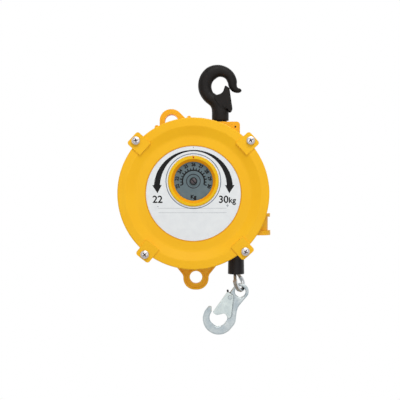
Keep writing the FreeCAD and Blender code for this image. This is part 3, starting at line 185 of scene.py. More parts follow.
def srgb(red, green, blue):
    """A colour as it looks on a screen, 0 to 255, turned into the linear light that shaders use."""
    def channel(value):
        value /= 255
        return value / 12.92 if value <= 0.04045 else ((value + 0.055) / 1.055) ** 2.4
    return tuple(channel(value) for value in (red, green, blue))


print("mid grey is", round(srgb(128, 128, 128)[0], 3), "in linear light")

# %% [markdown]
# ## Edges, crevices and grain
#
# Real pieces have no sharp edge. Rounding every edge in the mesh would cost many faces, so a Bevel node
# rounds the shading, an Ambient Occlusion node finds the corners where other surfaces come close and
# paints shade into them, and a Bump node gives the grain of a surface.

# %% Edges, crevices and grain
def soft_edge(tree, radius_mm):
    """Shade sharp edges as if they were rounded, as tumbling, plating and paint leave them."""
    node = tree.nodes.new("ShaderNodeBevel")
    node.samples = 6
    node.inputs["Radius"].default_value = radius_mm * MM
    return node.outputs["Normal"]


def crevice(tree, tone, reach_mm, dark):
    """Painted shade: darken a colour where other surfaces come close, where shade would fall."""
    node = tree.nodes.new("ShaderNodeAmbientOcclusion")
    node.samples = 8
    node.inputs["Distance"].default_value = reach_mm * MM
    return blend_colours(tree, spread(tree, node.outputs["AO"], 0.35, 0.95, 0.0, 1.0), dark, tone)


def bump(tree, shader, height, depth_mm, edge_mm=0.0):
    """Turn a grey pattern into relief of a stated depth, on edges rounded by edge_mm."""
    node = tree.nodes.new("ShaderNodeBump")
    if edge_mm:
        tree.links.new(soft_edge(tree, edge_mm), node.inputs["Normal"])
    node.inputs["Distance"].default_value = depth_mm * MM
    node.inputs["Strength"].default_value = 1.0
    tree.links.new(height, node.inputs["Height"])
    tree.links.new(node.outputs["Normal"], shader.inputs["Normal"])


print("surface helpers ready")

# %% [markdown]
# ## Paint on a casting
#
# The case and cover are painted cast metal. The paint is smooth and half glossy, but the casting
# under it is not quite flat, so highlights wander a little. Two noises do this: a broad one shifts the
# colour by a few percent and a fine one gives the orange-peel skin of sprayed paint. The walls of the
# dial's window are deeper in tone, which is painted shade; the bezel has the same paint in a tone
# painted for how light falls on it, and a darker ring at the label's edge is a painted shadow. One
# solid carries them all, so rings about an axis mark them off instead of separate pieces.

# %% Rings of painted light and shade
def paint_ring(tree, place, ground, centre, inner, outer, colour):
    """Another colour on a ring about a line along Y, between two radii in millimetres."""
    moved = tree.nodes.new("ShaderNodeVectorMath")
    moved.operation = "SUBTRACT"
    moved.inputs[1].default_value = centre
    tree.links.new(place, moved.inputs[0])
    flat = tree.nodes.new("ShaderNodeVectorMath")
    flat.operation = "MULTIPLY"
    flat.inputs[1].default_value = (1 / MM, 0, 1 / MM)
    tree.links.new(moved.outputs[0], flat.inputs[0])
    away = tree.nodes.new("ShaderNodeVectorMath")
    away.operation = "LENGTH"
    tree.links.new(flat.outputs[0], away.inputs[0])
    inside = tree.nodes.new("ShaderNodeMath")
    inside.operation = "COMPARE"
    inside.inputs[1].default_value = (inner + outer) / 2
    inside.inputs[2].default_value = (outer - inner) / 2
    tree.links.new(away.outputs["Value"], inside.inputs[0])
    return blend_colours(tree, inside.outputs[0], ground, colour)


print("ring mask ready")


# %% Painted casting
def painted_casting(name, colour, deep, rough=0.38, peel_mm=0.02, rings=()):
    material, tree, shader, place = fresh_material(name)
    broad = noise(tree, place, 45, 3)
    tone = blend_colours(tree, spread(tree, broad, 0.35, 0.65, 0.0, 1.0), colour, deep)
    # Painted light and shade: rings of another tone laid over the paint.
    for centre, inner, outer, painted_tone in rings:
        tone = paint_ring(tree, place, tone, centre, inner, outer, painted_tone)
    speck = noise(tree, place, 2.2, 4)
    tone = blend_colours(tree, spread(tree, speck, 0.62, 0.8, 0.0, 0.35), tone, deep)
    tree.links.new(tone, shader.inputs["Base Color"])
    tree.links.new(spread(tree, broad, 0.3, 0.7, rough - 0.05, rough + 0.06), shader.inputs["Roughness"])
    shader.inputs["Specular IOR Level"].default_value = 0.2
    bump(tree, shader, noise(tree, place, 1.6, 2), peel_mm, edge_mm=0.7)
    return material


# Centre, inner and outer radius in millimetres, colour: painted shade on the window wall, the bezel's paint
# in a tone painted for how light falls on it, painted shadow in the fillet at the foot of the recess.
PAINTED_LIGHT_RINGS = ((DIAL, 27.0, 32.3, srgb(250, 168, 8)), (DIAL, 32.3, 37.1, srgb(240, 190, 8)),
              (SHAFT, 68.5, 70.4, srgb(232, 158, 14)))
CASE_PAINT = painted_casting("case_paint", srgb(250, 186, 33), srgb(246, 179, 27))
COVER_PAINT = painted_casting("cover_paint", srgb(251, 190, 24), srgb(249, 186, 21), rings=PAINTED_LIGHT_RINGS)
print("paints made, with", len(PAINTED_LIGHT_RINGS), "rings on the cover")

# %% [markdown]
# ## Metals and rubber
#
# Zinc plating is a bright grey with a bluish cast and a soft, cloudy shine. The forged hook is black
# oxide over a rough skin. Ground and turned steel carry fine lines, so their noise is stretched.

# %% Metal finishes
# Reach in millimetres of the painted shade that metal finishes get near other surfaces.
PAINTED_SHADE_REACH = 3.0


def metal(name, colour, deep, rough, grain_mm=0.6, depth_mm=0.01, stretch=(1, 1, 1), metallic=1.0,
          edge_mm=0.0, dark=None):
    material, tree, shader, place = fresh_material(name)
    shader.inputs["Metallic"].default_value = metallic
    cloud = noise(tree, place, 9, 4)
    tone = blend_colours(tree, spread(tree, cloud, 0.3, 0.7, 0.0, 1.0), colour, deep)
    # Painted shade: the dark colour is blended in where other surfaces come close.
    if dark:
        tone = crevice(tree, tone, PAINTED_SHADE_REACH, dark)
    tree.links.new(tone, shader.inputs["Base Color"])
    tree.links.new(spread(tree, cloud, 0.3, 0.7, rough - 0.06, rough + 0.08), shader.inputs["Roughness"])
    bump(tree, shader, noise(tree, place, grain_mm, 3, stretch), depth_mm, edge_mm)
    return material


# dark, the last colour of the zinc and screw finishes, is painted shade where other surfaces come close.
ZINC = metal("zinc_plate", srgb(222, 230, 231), srgb(188, 202, 209), 0.36, 0.5, 0.015, metallic=0.75,
             edge_mm=0.5, dark=srgb(84, 92, 96))
SCREW_STEEL = metal("screw_steel", srgb(240, 234, 234), srgb(214, 208, 210), 0.28, 0.5, 0.008,
                    dark=srgb(92, 78, 74))
ZINC_SHEET = metal("zinc_sheet", srgb(232, 242, 240), srgb(214, 226, 227), 0.3, 0.4, 0.008, metallic=0.75,
                   edge_mm=0.9, dark=srgb(78, 84, 88))
BRIGHT = metal("bright_steel", srgb(225, 228, 230), srgb(205, 208, 212), 0.22, 0.3, 0.004, (1, 1, 8))
SCREW_DARK = metal("dial_screw_steel", srgb(104, 96, 98), srgb(66, 60, 62), 0.36, 0.4, 0.01)
DARK_STEEL = metal("dark_steel", srgb(70, 74, 78), srgb(52, 55, 58), 0.42, 0.4, 0.01)
BRASS = metal("turned_brass", srgb(214, 178, 104), srgb(196, 158, 84), 0.3, 0.4, 0.006)
BRONZE = metal("bearing_bronze", srgb(182, 138, 84), srgb(160, 116, 66), 0.36, 0.4, 0.008)
CAST_ALLOY = metal("cast_aluminium", srgb(200, 202, 204), srgb(178, 181, 184), 0.45, 0.9, 0.03)
CAST_IRON = metal("machined_iron", srgb(122, 122, 122), srgb(96, 96, 96), 0.5, 0.9, 0.03)
BLUED = metal("blued_strip", srgb(88, 98, 120), srgb(66, 74, 96), 0.3, 0.5, 0.006)
print("metals made")

# %% [markdown]
# ## Black oxide, rubber and ink
#
# These are not bare metal, so they get no metallic share. A forging keeps the scale and hammer marks
# of its making, a moulded piece is even and matt, and ink is thinner and flatter still. Ink and rubber
# differ only in tone and grain, so one helper makes both.

# %% Coatings
def forged_black(name, rough=0.5):
    """Black oxide on a forging: a dark skin with a soft sheen and shallow hammer and scale marks."""
    material, tree, shader, place = fresh_material(name)
    skin = noise(tree, place, 6, 5)
    tone = blend_colours(tree, spread(tree, skin, 0.35, 0.7, 0.0, 1.0), srgb(20, 17, 16), srgb(30, 27, 26))
    tree.links.new(tone, shader.inputs["Base Color"])
    tree.links.new(spread(tree, skin, 0.3, 0.7, rough - 0.1, rough + 0.1), shader.inputs["Roughness"])
    shader.inputs["Specular IOR Level"].default_value = 0.2
    bump(tree, shader, noise(tree, place, 3.0, 4), 0.12)
    return material


def moulded(name, colour, rough, grain_mm=0.5, depth_mm=0.01):
    """Rubber or nylon from a mould: one colour, a faint bloom, a fine matt grain."""
    material, tree, shader, place = fresh_material(name)
    bloom = noise(tree, place, 14, 3)
    pale = tuple(channel * 1.6 + 0.004 for channel in colour)
    tree.links.new(blend_colours(tree, spread(tree, bloom, 0.4, 0.8, 0.0, 0.6), colour, pale),
                   shader.inputs["Base Color"])
    tree.links.new(spread(tree, bloom, 0.3, 0.7, rough - 0.05, rough + 0.07), shader.inputs["Roughness"])
    shader.inputs["Specular IOR Level"].default_value = 0.25
    bump(tree, shader, noise(tree, place, grain_mm, 2), depth_mm)
    return material


FORGED = forged_black("forged_black")
RUBBER = moulded("bumper_rubber", srgb(26, 23, 24), 0.34)
NYLON = moulded("outlet_nylon", srgb(30, 30, 32), 0.5)
PRINT = moulded("black_print", srgb(12, 12, 13), 0.6, 0.8, 0.002)
# Painted shade for the walls of the screws' cross recesses.
RECESS_SHADE = moulded("recess_shade", srgb(92, 66, 52), 0.6, 0.8, 0.002)
RED_PRINT = moulded("red_print", srgb(168, 34, 12), 0.5, 0.8, 0.002)
GREY_PRINT = moulded("grey_print", srgb(120, 126, 134), 0.55, 0.8, 0.002)
BLUE_GREY_PRINT = moulded("dial_border_print", srgb(104, 116, 134), 0.55, 0.8, 0.002)
LABEL_FACE = metal("label_plate_face", srgb(234, 237, 238), srgb(228, 231, 233), 0.5, 0.5, 0.002, metallic=0.0)
DIAL_FACE = metal("dial_face", srgb(97, 115, 121), srgb(87, 105, 111), 0.55, 0.35, 0.003, metallic=0.0)
print("coatings made")

# %% [markdown]
# ## Dressing the construction
#
# Most of the solids already have the right shape, so they stay and only change their finish. One
# table names the finish of each, which is easier to check than a line for every piece.

# %% Finish of every solid that stays
FINISHES = {
    CASE_PAINT: ("rear_case",),
    COVER_PAINT: ("front_cover", "worm_cap"),
    LABEL_FACE: ("label_plate",),
    DIAL_FACE: ("dial_disc",),
    RUBBER: ("bumper", "cover_gasket"),
    NYLON: ("rope_guide",),
    FORGED: ("top_hook", "hook_latch", "hook_latch_pin"),
    DARK_STEEL: ("dial_axle", "bearing_bridge", "lid_screws"),
    ZINC: ("load_hook", "gate_pin", "cover_screws", "cover_washers", "hook_nut", "hook_split_pin",
           "bridge_screws"),
    ZINC_SHEET: ("load_gate",),
    BRIGHT: ("drum_shaft", "drum_key", "spring_arbor", "bearing_inner_ring", "bearing_outer_ring",
             "bearing_balls", "adjusting_worm", "thimble", "rope_loop", "rope_run", "rope_wraps"),
    BRASS: ("dial_gear", "dial_pinion"),
    BRONZE: ("hook_bush", "hook_thrust_washer", "case_bush", "worm_wheel", "worm_upper_bush",
             "worm_lower_bush"),
    CAST_ALLOY: ("rope_drum", "rope_ferrule"),
    CAST_IRON: ("spring_case", "spring_case_lid"),
    BLUED: ("power_spring",),
}
for material, names in FINISHES.items():
    for name in names:
        mesh = NODES[name].data
        mesh.materials.clear()
        mesh.materials.append(material)
dressed = [name for names in FINISHES.values() for name in names]
print("dressed", len(dressed), "of", len(NODES), "left:", sorted(set(NODES) - set(dressed)))

# %% [markdown]
# ## Floor
#
# The balancer hangs, so the floor is far below it: farther than the 1.5 m of rope that the drum can
# pay out, or the load hook would go through it. It is a pale plane that still takes the shadow. A share
# of plain white in what the camera sees makes it pale without more light on the object.

# %% Floor
FLOOR_SIZE = 5
FLOOR_DROP = 1.7
WHITE_SHARE = 0.7


def plain_stage():
    bpy.ops.mesh.primitive_plane_add(size=FLOOR_SIZE, location=(0, 0, CAD_BOX[0][2] - FLOOR_DROP))
    floor = bpy.context.object
    floor.name = "floor"
    material, tree, shader, _ = fresh_material("pale_floor")
    shader.inputs["Base Color"].default_value = (0.95, 0.95, 0.95, 1)
    shader.inputs["Roughness"].default_value = 0.9
    glow = tree.nodes.new("ShaderNodeEmission")
    glow.inputs["Color"].default_value = (1, 1, 1, 1)
    share = tree.nodes.new("ShaderNodeMath")
    share.operation = "MULTIPLY"
    share.inputs[1].default_value = WHITE_SHARE
    rays = tree.nodes.new("ShaderNodeLightPath")
    mix = tree.nodes.new("ShaderNodeMixShader")
    tree.links.new(rays.outputs["Is Camera Ray"], share.inputs[0])
    tree.links.new(share.outputs[0], mix.inputs[0])
    tree.links.new(shader.outputs[0], mix.inputs[1])
    tree.links.new(glow.outputs[0], mix.inputs[2])
    tree.links.new(mix.outputs[0], tree.nodes["Material Output"].inputs["Surface"])
    floor.data.materials.append(material)


plain_stage()
print("floor", FLOOR_DROP, "m below the hook")

# %% [markdown]
# ## Backdrop
#
# Bright metal shows whatever stands round it. In a room that is white on all sides it would look like
# white paint, so mirrored rays meet white only behind the object and half of that in front.

# %% World
ROOM_STRENGTH = 0.5


def highest(tree, first, second):
    node = tree.nodes.new("ShaderNodeMath")
    node.operation = "MAXIMUM"
    tree.links.new(first, node.inputs[0])
    tree.links.new(second, node.inputs[1])
    return node.outputs[0]


def white_world():
    """White where the backdrop stands, also in mirrored and refracted rays, and a softer room in front."""
    world = bpy.data.worlds.new("soft_room")
    bpy.context.scene.world = world
    world.use_nodes = True
    tree = world.node_tree
    room = tree.nodes["Background"]
    room.inputs["Color"].default_value = (1, 1, 1, 1)
    room.inputs["Strength"].default_value = ROOM_STRENGTH
    bright = tree.nodes.new("ShaderNodeBackground")
    bright.inputs["Color"].default_value = (1, 1, 1, 1)
    bright.inputs["Strength"].default_value = 1.0
    rays = tree.nodes.new("ShaderNodeLightPath")
    mirrored = highest(tree, rays.outputs["Is Glossy Ray"], rays.outputs["Is Transmission Ray"])
    heading = tree.nodes.new("ShaderNodeSeparateXYZ")
    tree.links.new(tree.nodes.new("ShaderNodeTexCoord").outputs["Generated"], heading.inputs[0])
    behind = tree.nodes.new("ShaderNodeMath")
    behind.operation = "MULTIPLY"
    tree.links.new(mirrored, behind.inputs[0])
    tree.links.new(spread(tree, heading.outputs["Y"], -0.45, 0.1, 0.0, 1.0), behind.inputs[1])
    seen = highest(tree, rays.outputs["Is Camera Ray"], behind.outputs[0])
    mix = tree.nodes.new("ShaderNodeMixShader")
    tree.links.new(seen, mix.inputs[0])
    tree.links.new(room.outputs[0], mix.inputs[1])
    tree.links.new(bright.outputs[0], mix.inputs[2])
    tree.links.new(mix.outputs[0], tree.nodes["World Output"].inputs["Surface"])


white_world()
print("room at", ROOM_STRENGTH)

# %% [markdown]
# ## Lamps
#
# Three soft boxes stand round the case: one above, one low in front, one behind. A broad source gives
# soft shadows, and the watts are low enough for a colour to come out about as it is written.

# %% Soft boxes
def soft_box(name, place, aim, size, watts):
    data = bpy.data.lights.new(name, "AREA")
    data.shape = "RECTANGLE"
    data.size = size[0]
    data.size_y = size[1]
    data.energy = watts
    lamp = bpy.data.objects.new(name, data)
    bpy.context.collection.objects.link(lamp)
    lamp.location = place
    lamp.rotation_euler = (Vector(aim) - Vector(place)).to_track_quat("-Z", "Y").to_euler()


soft_box("top_light", (0.15, -1.0, 0.95), SHAFT, (1.0, 0.7), 10.5)
soft_box("front_light", (0.05, -1.45, -0.1), SHAFT, (1.8, 0.9), 4)
soft_box("back_light", (0.2, 1.4, 1.2), SHAFT, (1.0, 1.0), 9)
print("lamps:", ", ".join(light.name for light in bpy.data.lights))

# %% [markdown]
# ## Printing on the plate
#
# Screen printing is a film of ink with a crisp edge. Each printed shape is its own very thin slab,
# six hundredths of a millimetre thick, so it stays sharp at any distance. Lines and arcs are strips
# between two curves. Figures come from Blender's own font, turned into a mesh. An image on the plate
# would be simpler, but it would blur when seen close.

# %% From a built shape to a piece on a body
INK = 0.06 * MM


def mesh_of(shape, name):
    """Close a built shape: turn its normals outwards and hand it over as a mesh."""
    bmesh.ops.recalc_face_normals(shape, faces=shape.faces)
    mesh = bpy.data.meshes.new(name)
    shape.to_mesh(mesh)
    shape.free()
    return mesh


def tube_faces(shape, rings, around):
    """Join rings of points into a tube and close both of its ends."""
    for first, second in zip(rings, rings[1:]):
        for step in range(around):
            after = (step + 1) % around
            shape.faces.new((first[step], first[after], second[after], second[step]))
    shape.faces.new(list(reversed(rings[0])))
    shape.faces.new(rings[-1])


def finished(name, mesh, material, body, smooth=False):
    mesh.materials.clear()
    mesh.materials.append(material)
    piece = bpy.data.objects.new(name, mesh)
    bpy.context.collection.objects.link(piece)
    for face in mesh.polygons:
        face.use_smooth = smooth
    if body:
        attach(piece, body)
    return piece


print("ink is", round(INK / MM, 2), "mm thick")


# %% Strips, arcs and rings of ink
def on_face(centre, front, x, z, lift=0.0):
    """A point x, z millimetres from a centre on a face that looks towards -Y."""
    return Vector((centre.x + x * MM, front - lift, centre.z + z * MM))


def strip(name, inside, outside, centre, front, material, body, closed=False):
    """Ink between two rows of x, z points."""
    shape = bmesh.new()
    rows = [[shape.verts.new(on_face(centre, front, x, z)) for x, z in row] for row in (inside, outside)]
    count = len(inside)
    faces = []
    for step in range(count if closed else count - 1):
        after = (step + 1) % count
        faces.append(shape.faces.new((rows[0][step], rows[1][step], rows[1][after], rows[0][after])))
    raised = bmesh.ops.extrude_face_region(shape, geom=faces)
    for item in raised["geom"]:
        if isinstance(item, bmesh.types.BMVert):
            item.co.y -= INK
    return finished(name, mesh_of(shape, name), material, body)


def arc(radius, first, last, steps=64, x=0.0, z=0.0):
    """Points on an arc, from one angle to another in degrees, anticlockwise from the right."""
    angles = [math.radians(first + (last - first) * step / steps) for step in range(steps + 1)]
    return [(x + radius * math.cos(angle), z + radius * math.sin(angle)) for angle in angles]


def ring_line(name, radius, width, centre, front, material, body):
    inside = arc(radius - width / 2, 0, 360, 96)[:-1]
    outside = arc(radius + width / 2, 0, 360, 96)[:-1]
    return strip(name, inside, outside, centre, front, material, body, closed=True)


print("ring of", len(arc(1, 0, 360, 96)) - 1, "steps")

# %% [markdown]
# Letters made heavier with the font's own offset break where their outlines cross, as in a 6 or a g.
# Copies that stand a little to each side give the same weight and keep every counter open.

# %% Figures of ink
CAP_SHARE = 0.7
COPY_LIFT = 0.002
SHIFTS = ((0, 0), (1, 0), (-1, 0), (0, 1), (0, -1))


def figures(name, text, height_mm, centre, front, x, z, material, body, turn=0.0, weight=0.0, narrow=1.0):
    """Printed figures, centred on x, z and turned by an angle in degrees, made bolder by copies
    of themselves that stand a little to each side."""
    curve = bpy.data.curves.new(name, "FONT")
    curve.body = text
    curve.align_x = "CENTER"
    curve.align_y = "CENTER"
    curve.size = height_mm * MM / CAP_SHARE
    curve.extrude = INK / 2
    lettering = bpy.data.objects.new(name, curve)
    bpy.context.collection.objects.link(lettering)
    bpy.context.view_layer.update()
    mesh = bpy.data.meshes.new_from_object(lettering)
    bpy.data.objects.remove(lettering)
    bold = bmesh.new()
    for copy, (across, up) in enumerate(SHIFTS if weight else SHIFTS[:1]):
        first = len(bold.verts)
        bold.from_mesh(mesh)
        bold.verts.ensure_lookup_table()
        bmesh.ops.translate(bold, verts=bold.verts[first:],
                            vec=(across * weight * MM, up * weight * MM, -copy * COPY_LIFT * MM))
    bold.to_mesh(mesh)
    bold.free()
    upright = Matrix.Rotation(math.radians(90), 4, "X") @ Matrix.Diagonal((narrow, 1, 1, 1))
    facing = Matrix.Rotation(math.radians(-turn), 4, "Y")
    mesh.transform(Matrix.Translation(on_face(centre, front, x, z, INK / 2)) @ facing @ upright)
    return finished(name, mesh, material, body)


print("figures stand", len(SHIFTS), "copies deep")

# %% [markdown]
# ## The load plate
#
# A double-ended arrow says that turning the worm changes the load between 22 and 30 kg. The arrow is
# thin over the dial and swells towards its two heads, so its two edges are worked out as points and
# filled like any other strip. Two fine rules close the plate's lower half, which stays bare.

# %% Arrow
ARROW_RADIUS = 52.8
ARROW_RISE = 9.5
HEAD_HALF = 6.85
HEAD_BASE = 12.2


def arrow_band(first, last, steps=72):
    """The two edges of the arrow's shaft, which swells from 1.8 mm at its top to 8.6 at its ends."""
    edges = ([], [])
    for step in range(steps + 1):
        angle = math.radians(first + (last - first) * step / steps)
        half = 0.9 + 3.4 * abs(math.cos(angle)) ** 1.9
        for edge, radius in zip(edges, (ARROW_RADIUS - half, ARROW_RADIUS + half)):
            edge.append((radius * math.cos(angle), ARROW_RISE + radius * math.sin(angle)))
    return edges


inside, outside = arrow_band(2.7, 177.3)
strip("arrow_arc", inside, outside, SHAFT, LABEL_FRONT, PRINT, "housing")
for side, name in ((-1, "arrow_head_left"), (1, "arrow_head_right")):
    base = [(side * (ARROW_RADIUS - HEAD_HALF), HEAD_BASE), (side * 52.0, 0.4)]
    edge = [(side * (ARROW_RADIUS + HEAD_HALF), HEAD_BASE), (side * 52.1, 0.4)]
    strip(name, base, edge, SHAFT, LABEL_FRONT, PRINT, "housing")
print("arrow drawn with", len(inside), "points an edge")

# %% Range figures and rules
RULE_WIDTH = 0.28
figures("figure_low", "22", 10.2, SHAFT, LABEL_FRONT, -52.0, -9, PRINT, "housing", weight=0.34, narrow=1.02)
figures("figure_high", "30", 10.2, SHAFT, LABEL_FRONT, 43.7, -9, PRINT, "housing", weight=0.34, narrow=1.0)
figures("figure_unit", "kg", 8.2, SHAFT, LABEL_FRONT, 56.4, -10.0, PRINT, "housing", weight=0.3, narrow=1.0)
figures("less_sign", "-", 6, SHAFT, LABEL_FRONT, -51.5, -18.2, GREY_PRINT, "housing")
figures("more_sign", "+", 6, SHAFT, LABEL_FRONT, 49.5, -18.2, GREY_PRINT, "housing")
for height in (-21.5, -28.0):
    strip(f"rule_{abs(round(height))}", [(-51, height), (48, height)],
          [(-51, height + RULE_WIDTH), (48, height + RULE_WIDTH)], SHAFT, LABEL_FRONT, GREY_PRINT, "housing")
strip("plate_index", [(-0.5, 66.2), (0.5, 66.2)], [(-0.5, 67.6), (0.5, 67.6)], SHAFT, LABEL_FRONT,
      GREY_PRINT, "housing")
ring_line("dial_border", 39.7, 1.2, DIAL, LABEL_FRONT, BLUE_GREY_PRINT, "housing")
print("plate printed")

# %% [markdown]
# ## The dial
#
# The grey disc behind the window turns with the spring case. Its scale runs from 22 to 30 in half
# steps over 215 degrees, with 26 in the middle at the top. A red mark on the window's rim reads it.
# The marks are spokes of ink that loops set out by angle, so the spacing can't drift.

# %% Angles of the scale
SCALE_LOW = 22
SCALE_HIGH = 30
DEGREES_A_UNIT = 26.9


def scale_angle(value):
    return 90 - (value - (SCALE_LOW + SCALE_HIGH) / 2) * DEGREES_A_UNIT


def spoke(angle, start, end, width):
    """The two edges of a straight mark that runs outwards."""
    along = Vector((math.cos(math.radians(angle)), math.sin(math.radians(angle))))
    across = Vector((-along.y, along.x)) * width / 2
    return ([tuple(along * start - across), tuple(along * end - across)],
            [tuple(along * start + across), tuple(along * end + across)])


print("scale spans", round((SCALE_HIGH - SCALE_LOW) * DEGREES_A_UNIT), "degrees")

# %% Marks and figures of the dial
FIGURE_RADIUS = 23.9
strip("scale_arc", arc(15.0, scale_angle(SCALE_HIGH), scale_angle(SCALE_LOW)),
      arc(17.0, scale_angle(SCALE_HIGH), scale_angle(SCALE_LOW)), DIAL, DIAL_FRONT, PRINT, "dial")
for half in range(2 * SCALE_LOW, 2 * SCALE_HIGH + 1):
    whole = half % 2 == 0
    edges = spoke(scale_angle(half / 2), 16.3, 20.2 if whole else 19.2, 1.7 if whole else 1.5)
    strip(f"scale_mark_{half}", *edges, DIAL, DIAL_FRONT, PRINT, "dial")
for value in range(SCALE_LOW, SCALE_HIGH + 1):
    angle = scale_angle(value)
    along = math.radians(angle)
    figures(f"scale_{value}", str(value), 4.6, DIAL, DIAL_FRONT, FIGURE_RADIUS * math.cos(along),
            FIGURE_RADIUS * math.sin(along), PRINT, "dial", turn=angle - 90, weight=0.42, narrow=0.95)
figures("scale_unit", "Kg", 5.4, DIAL, DIAL_FRONT, 0, -23.0, PRINT, "dial", weight=0.5)
ring_line("scale_inner_line", 10.0, 1.5, DIAL, DIAL_FRONT, DARK_STEEL, "dial")
print("dial printed")

# %% [markdown]
# ## Twisted wire
#
# Wire rope is six strands laid round each other. Modelling every wire would cost millions of faces
# and show nothing more, so one tube does the work: its section has six lobes, and the lobes turn as
# the tube runs along. One turn of the lay is six and a half rope diameters.

# %% A rope along any line
ROPE_RADIUS = 2.4 * MM
LAY = 6.5 * 2 * ROPE_RADIUS
STRANDS = 6


def lobed(angle):
    """The rope's outline as a share of its radius: six round strands with grooves between them."""
    return 0.84 + 0.16 * abs(math.cos(STRANDS / 2 * angle)) ** 0.7


def twisted_rope(name, line, across, body, around=48):
    """A rope along a row of points. across is a direction that is never along the line."""
    shape = bmesh.new()
    rings = []
    run = 0.0
    for index, point in enumerate(line):
        ahead = line[min(index + 1, len(line) - 1)]
        behind = line[max(index - 1, 0)]
        forward = (ahead - behind).normalized()
        side = across.cross(forward).normalized()
        up = forward.cross(side)
        if index:
            run += (point - line[index - 1]).length
        turn = 2 * math.pi * run / LAY
        ring = []
        for step in range(around):
            angle = 2 * math.pi * step / around
            radius = ROPE_RADIUS * lobed(angle - turn)
            out = side * radius * math.cos(angle) + up * radius * math.sin(angle)
            ring.append(shape.verts.new(point + out))
        rings.append(ring)
    tube_faces(shape, rings, around)
    return finished(name, mesh_of(shape, name), WIRE, body, smooth=True)


print("one turn of the lay in", round(LAY / MM, 1), "mm")


# %% Finish of the wire
def wire_finish():
    """Greased steel wire: grey-brown, with fine darker flecks spread at random by noise."""
    material, tree, shader, place = fresh_material("rope_wire")
    shader.inputs["Metallic"].default_value = 0.6
    fine = noise(tree, place, 0.5, 3)
    grease = noise(tree, place, 5, 3)
    tone = blend_colours(tree, spread(tree, grease, 0.35, 0.7, 0.0, 1.0), srgb(184, 176, 164),
                         srgb(152, 142, 128))
    tone = blend_colours(tree, spread(tree, fine, 0.55, 0.75, 0.0, 0.4), tone, srgb(104, 96, 86))
    tree.links.new(tone, shader.inputs["Base Color"])
    tree.links.new(spread(tree, grease, 0.3, 0.7, 0.3, 0.5), shader.inputs["Roughness"])
    bump(tree, shader, fine, 0.05)
    return material


WIRE = wire_finish()
print("wire finish:", WIRE.name)

# %% [markdown]
# The rope's eye is a teardrop: two legs leave the bumper, part, and meet round the thimble. The
# plane of the loop is leant and turned, so one leg comes forward through the eye of the load hook.

# %% The rope's eye
LOOP_GAP = 8.2 * MM
LOOP_WIDTH = 24.0 * MM
LOOP_DROP = 27.0 * MM
LOOP_TURN = math.radians(62)
LOOP_LEAN = math.radians(-18)
LOOP_HEAD = 0.8 * MM
LEG_STEPS = 24


def teardrop(steps=120):
    """Two straight legs tangent to a round foot, in the plane y = 0 with the head at the origin."""
    radius = LOOP_WIDTH / 2
    centre = Vector((0, 0, -LOOP_DROP + radius))
    head = Vector((LOOP_GAP / 2, 0, 0))
    away = head - centre
    touch = math.atan2(away.z, away.x) - math.acos(radius / away.length)
    first = centre + Vector((radius * math.cos(touch), 0, radius * math.sin(touch)))
    leg = [head.lerp(first, step / LEG_STEPS) for step in range(LEG_STEPS)]
    sweep = [touch + (-math.pi - 2 * touch) * step / steps for step in range(steps + 1)]
    foot = [centre + Vector((radius * math.cos(a), 0, radius * math.sin(a))) for a in sweep]
    other = [Vector((-point.x, 0, point.z)) for point in reversed(leg)]
    return leg + foot + other


BUMPER = middle("bumper")
loop_place = (Matrix.Translation((BUMPER.x, 0, low("bumper").z + LOOP_HEAD))
              @ Matrix.Rotation(LOOP_LEAN, 4, "Y") @ Matrix.Rotation(LOOP_TURN, 4, "Z"))
loop_line = [loop_place @ point for point in teardrop()]
loop_plane = (loop_place.to_3x3() @ Vector((0, 1, 0))).normalized()
loop = twisted_rope("wire_loop", loop_line, loop_plane, "rope_end")
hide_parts("rope_loop")
loop_length = sum((b - a).length for a, b in zip(loop_line, loop_line[1:]))
print("loop of", round(loop_length / MM), "mm of rope")

# %% [markdown]
# Inside the case the rope runs straight down from the drum to the bumper. When the load is pulled
# down, this run grows, so it is put on no body here.

# %% The run that pays out
RUN_STEPS = 160
run_top = high("rope_run").z
run_foot = low("rope_run").z
run_line = [Vector((BUMPER.x, 0, run_top + (run_foot - run_top) * step / RUN_STEPS))
            for step in range(RUN_STEPS + 1)]
run = twisted_rope("wire_run", run_line, Vector((0, 1, 0)), None)
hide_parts("rope_run")
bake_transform(run)
print("run", round((run_top - run_foot) / MM), "mm at rest")

# %% [markdown]
# ## Turned pieces and screw heads
#
# A screw head is a profile turned about its axis. A Screw modifier could do it as well, but a helper
# that places the rings also closes the shape at its axis. The driver's recess is cut out with a tapered
# cross, so its walls are real and catch a shadow; they also carry a colour of painted shade.

# %% Turning
def turned(name, profile, centre, around=64):
    """A mesh from radius, reach points in millimetres, turned about a line along Y.

    Reach grows towards -Y."""
    shape = bmesh.new()
    rings = []
    for radius, reach in profile:
        if radius == 0:
            rings.append([shape.verts.new((centre.x, centre.y - reach * MM, centre.z))] * around)
            continue
        angles = [2 * math.pi * step / around for step in range(around)]
        rings.append([shape.verts.new((centre.x + radius * MM * math.cos(angle), centre.y - reach * MM,
                                       centre.z + radius * MM * math.sin(angle))) for angle in angles])
    for first, second in zip(rings, rings[1:]):
        for step in range(around):
            after = (step + 1) % around
            corners = dict.fromkeys((first[step], first[after], second[after], second[step]))
            if len(corners) > 2:
                shape.faces.new(list(corners))
    return mesh_of(shape, name)


print("turning helper ready")


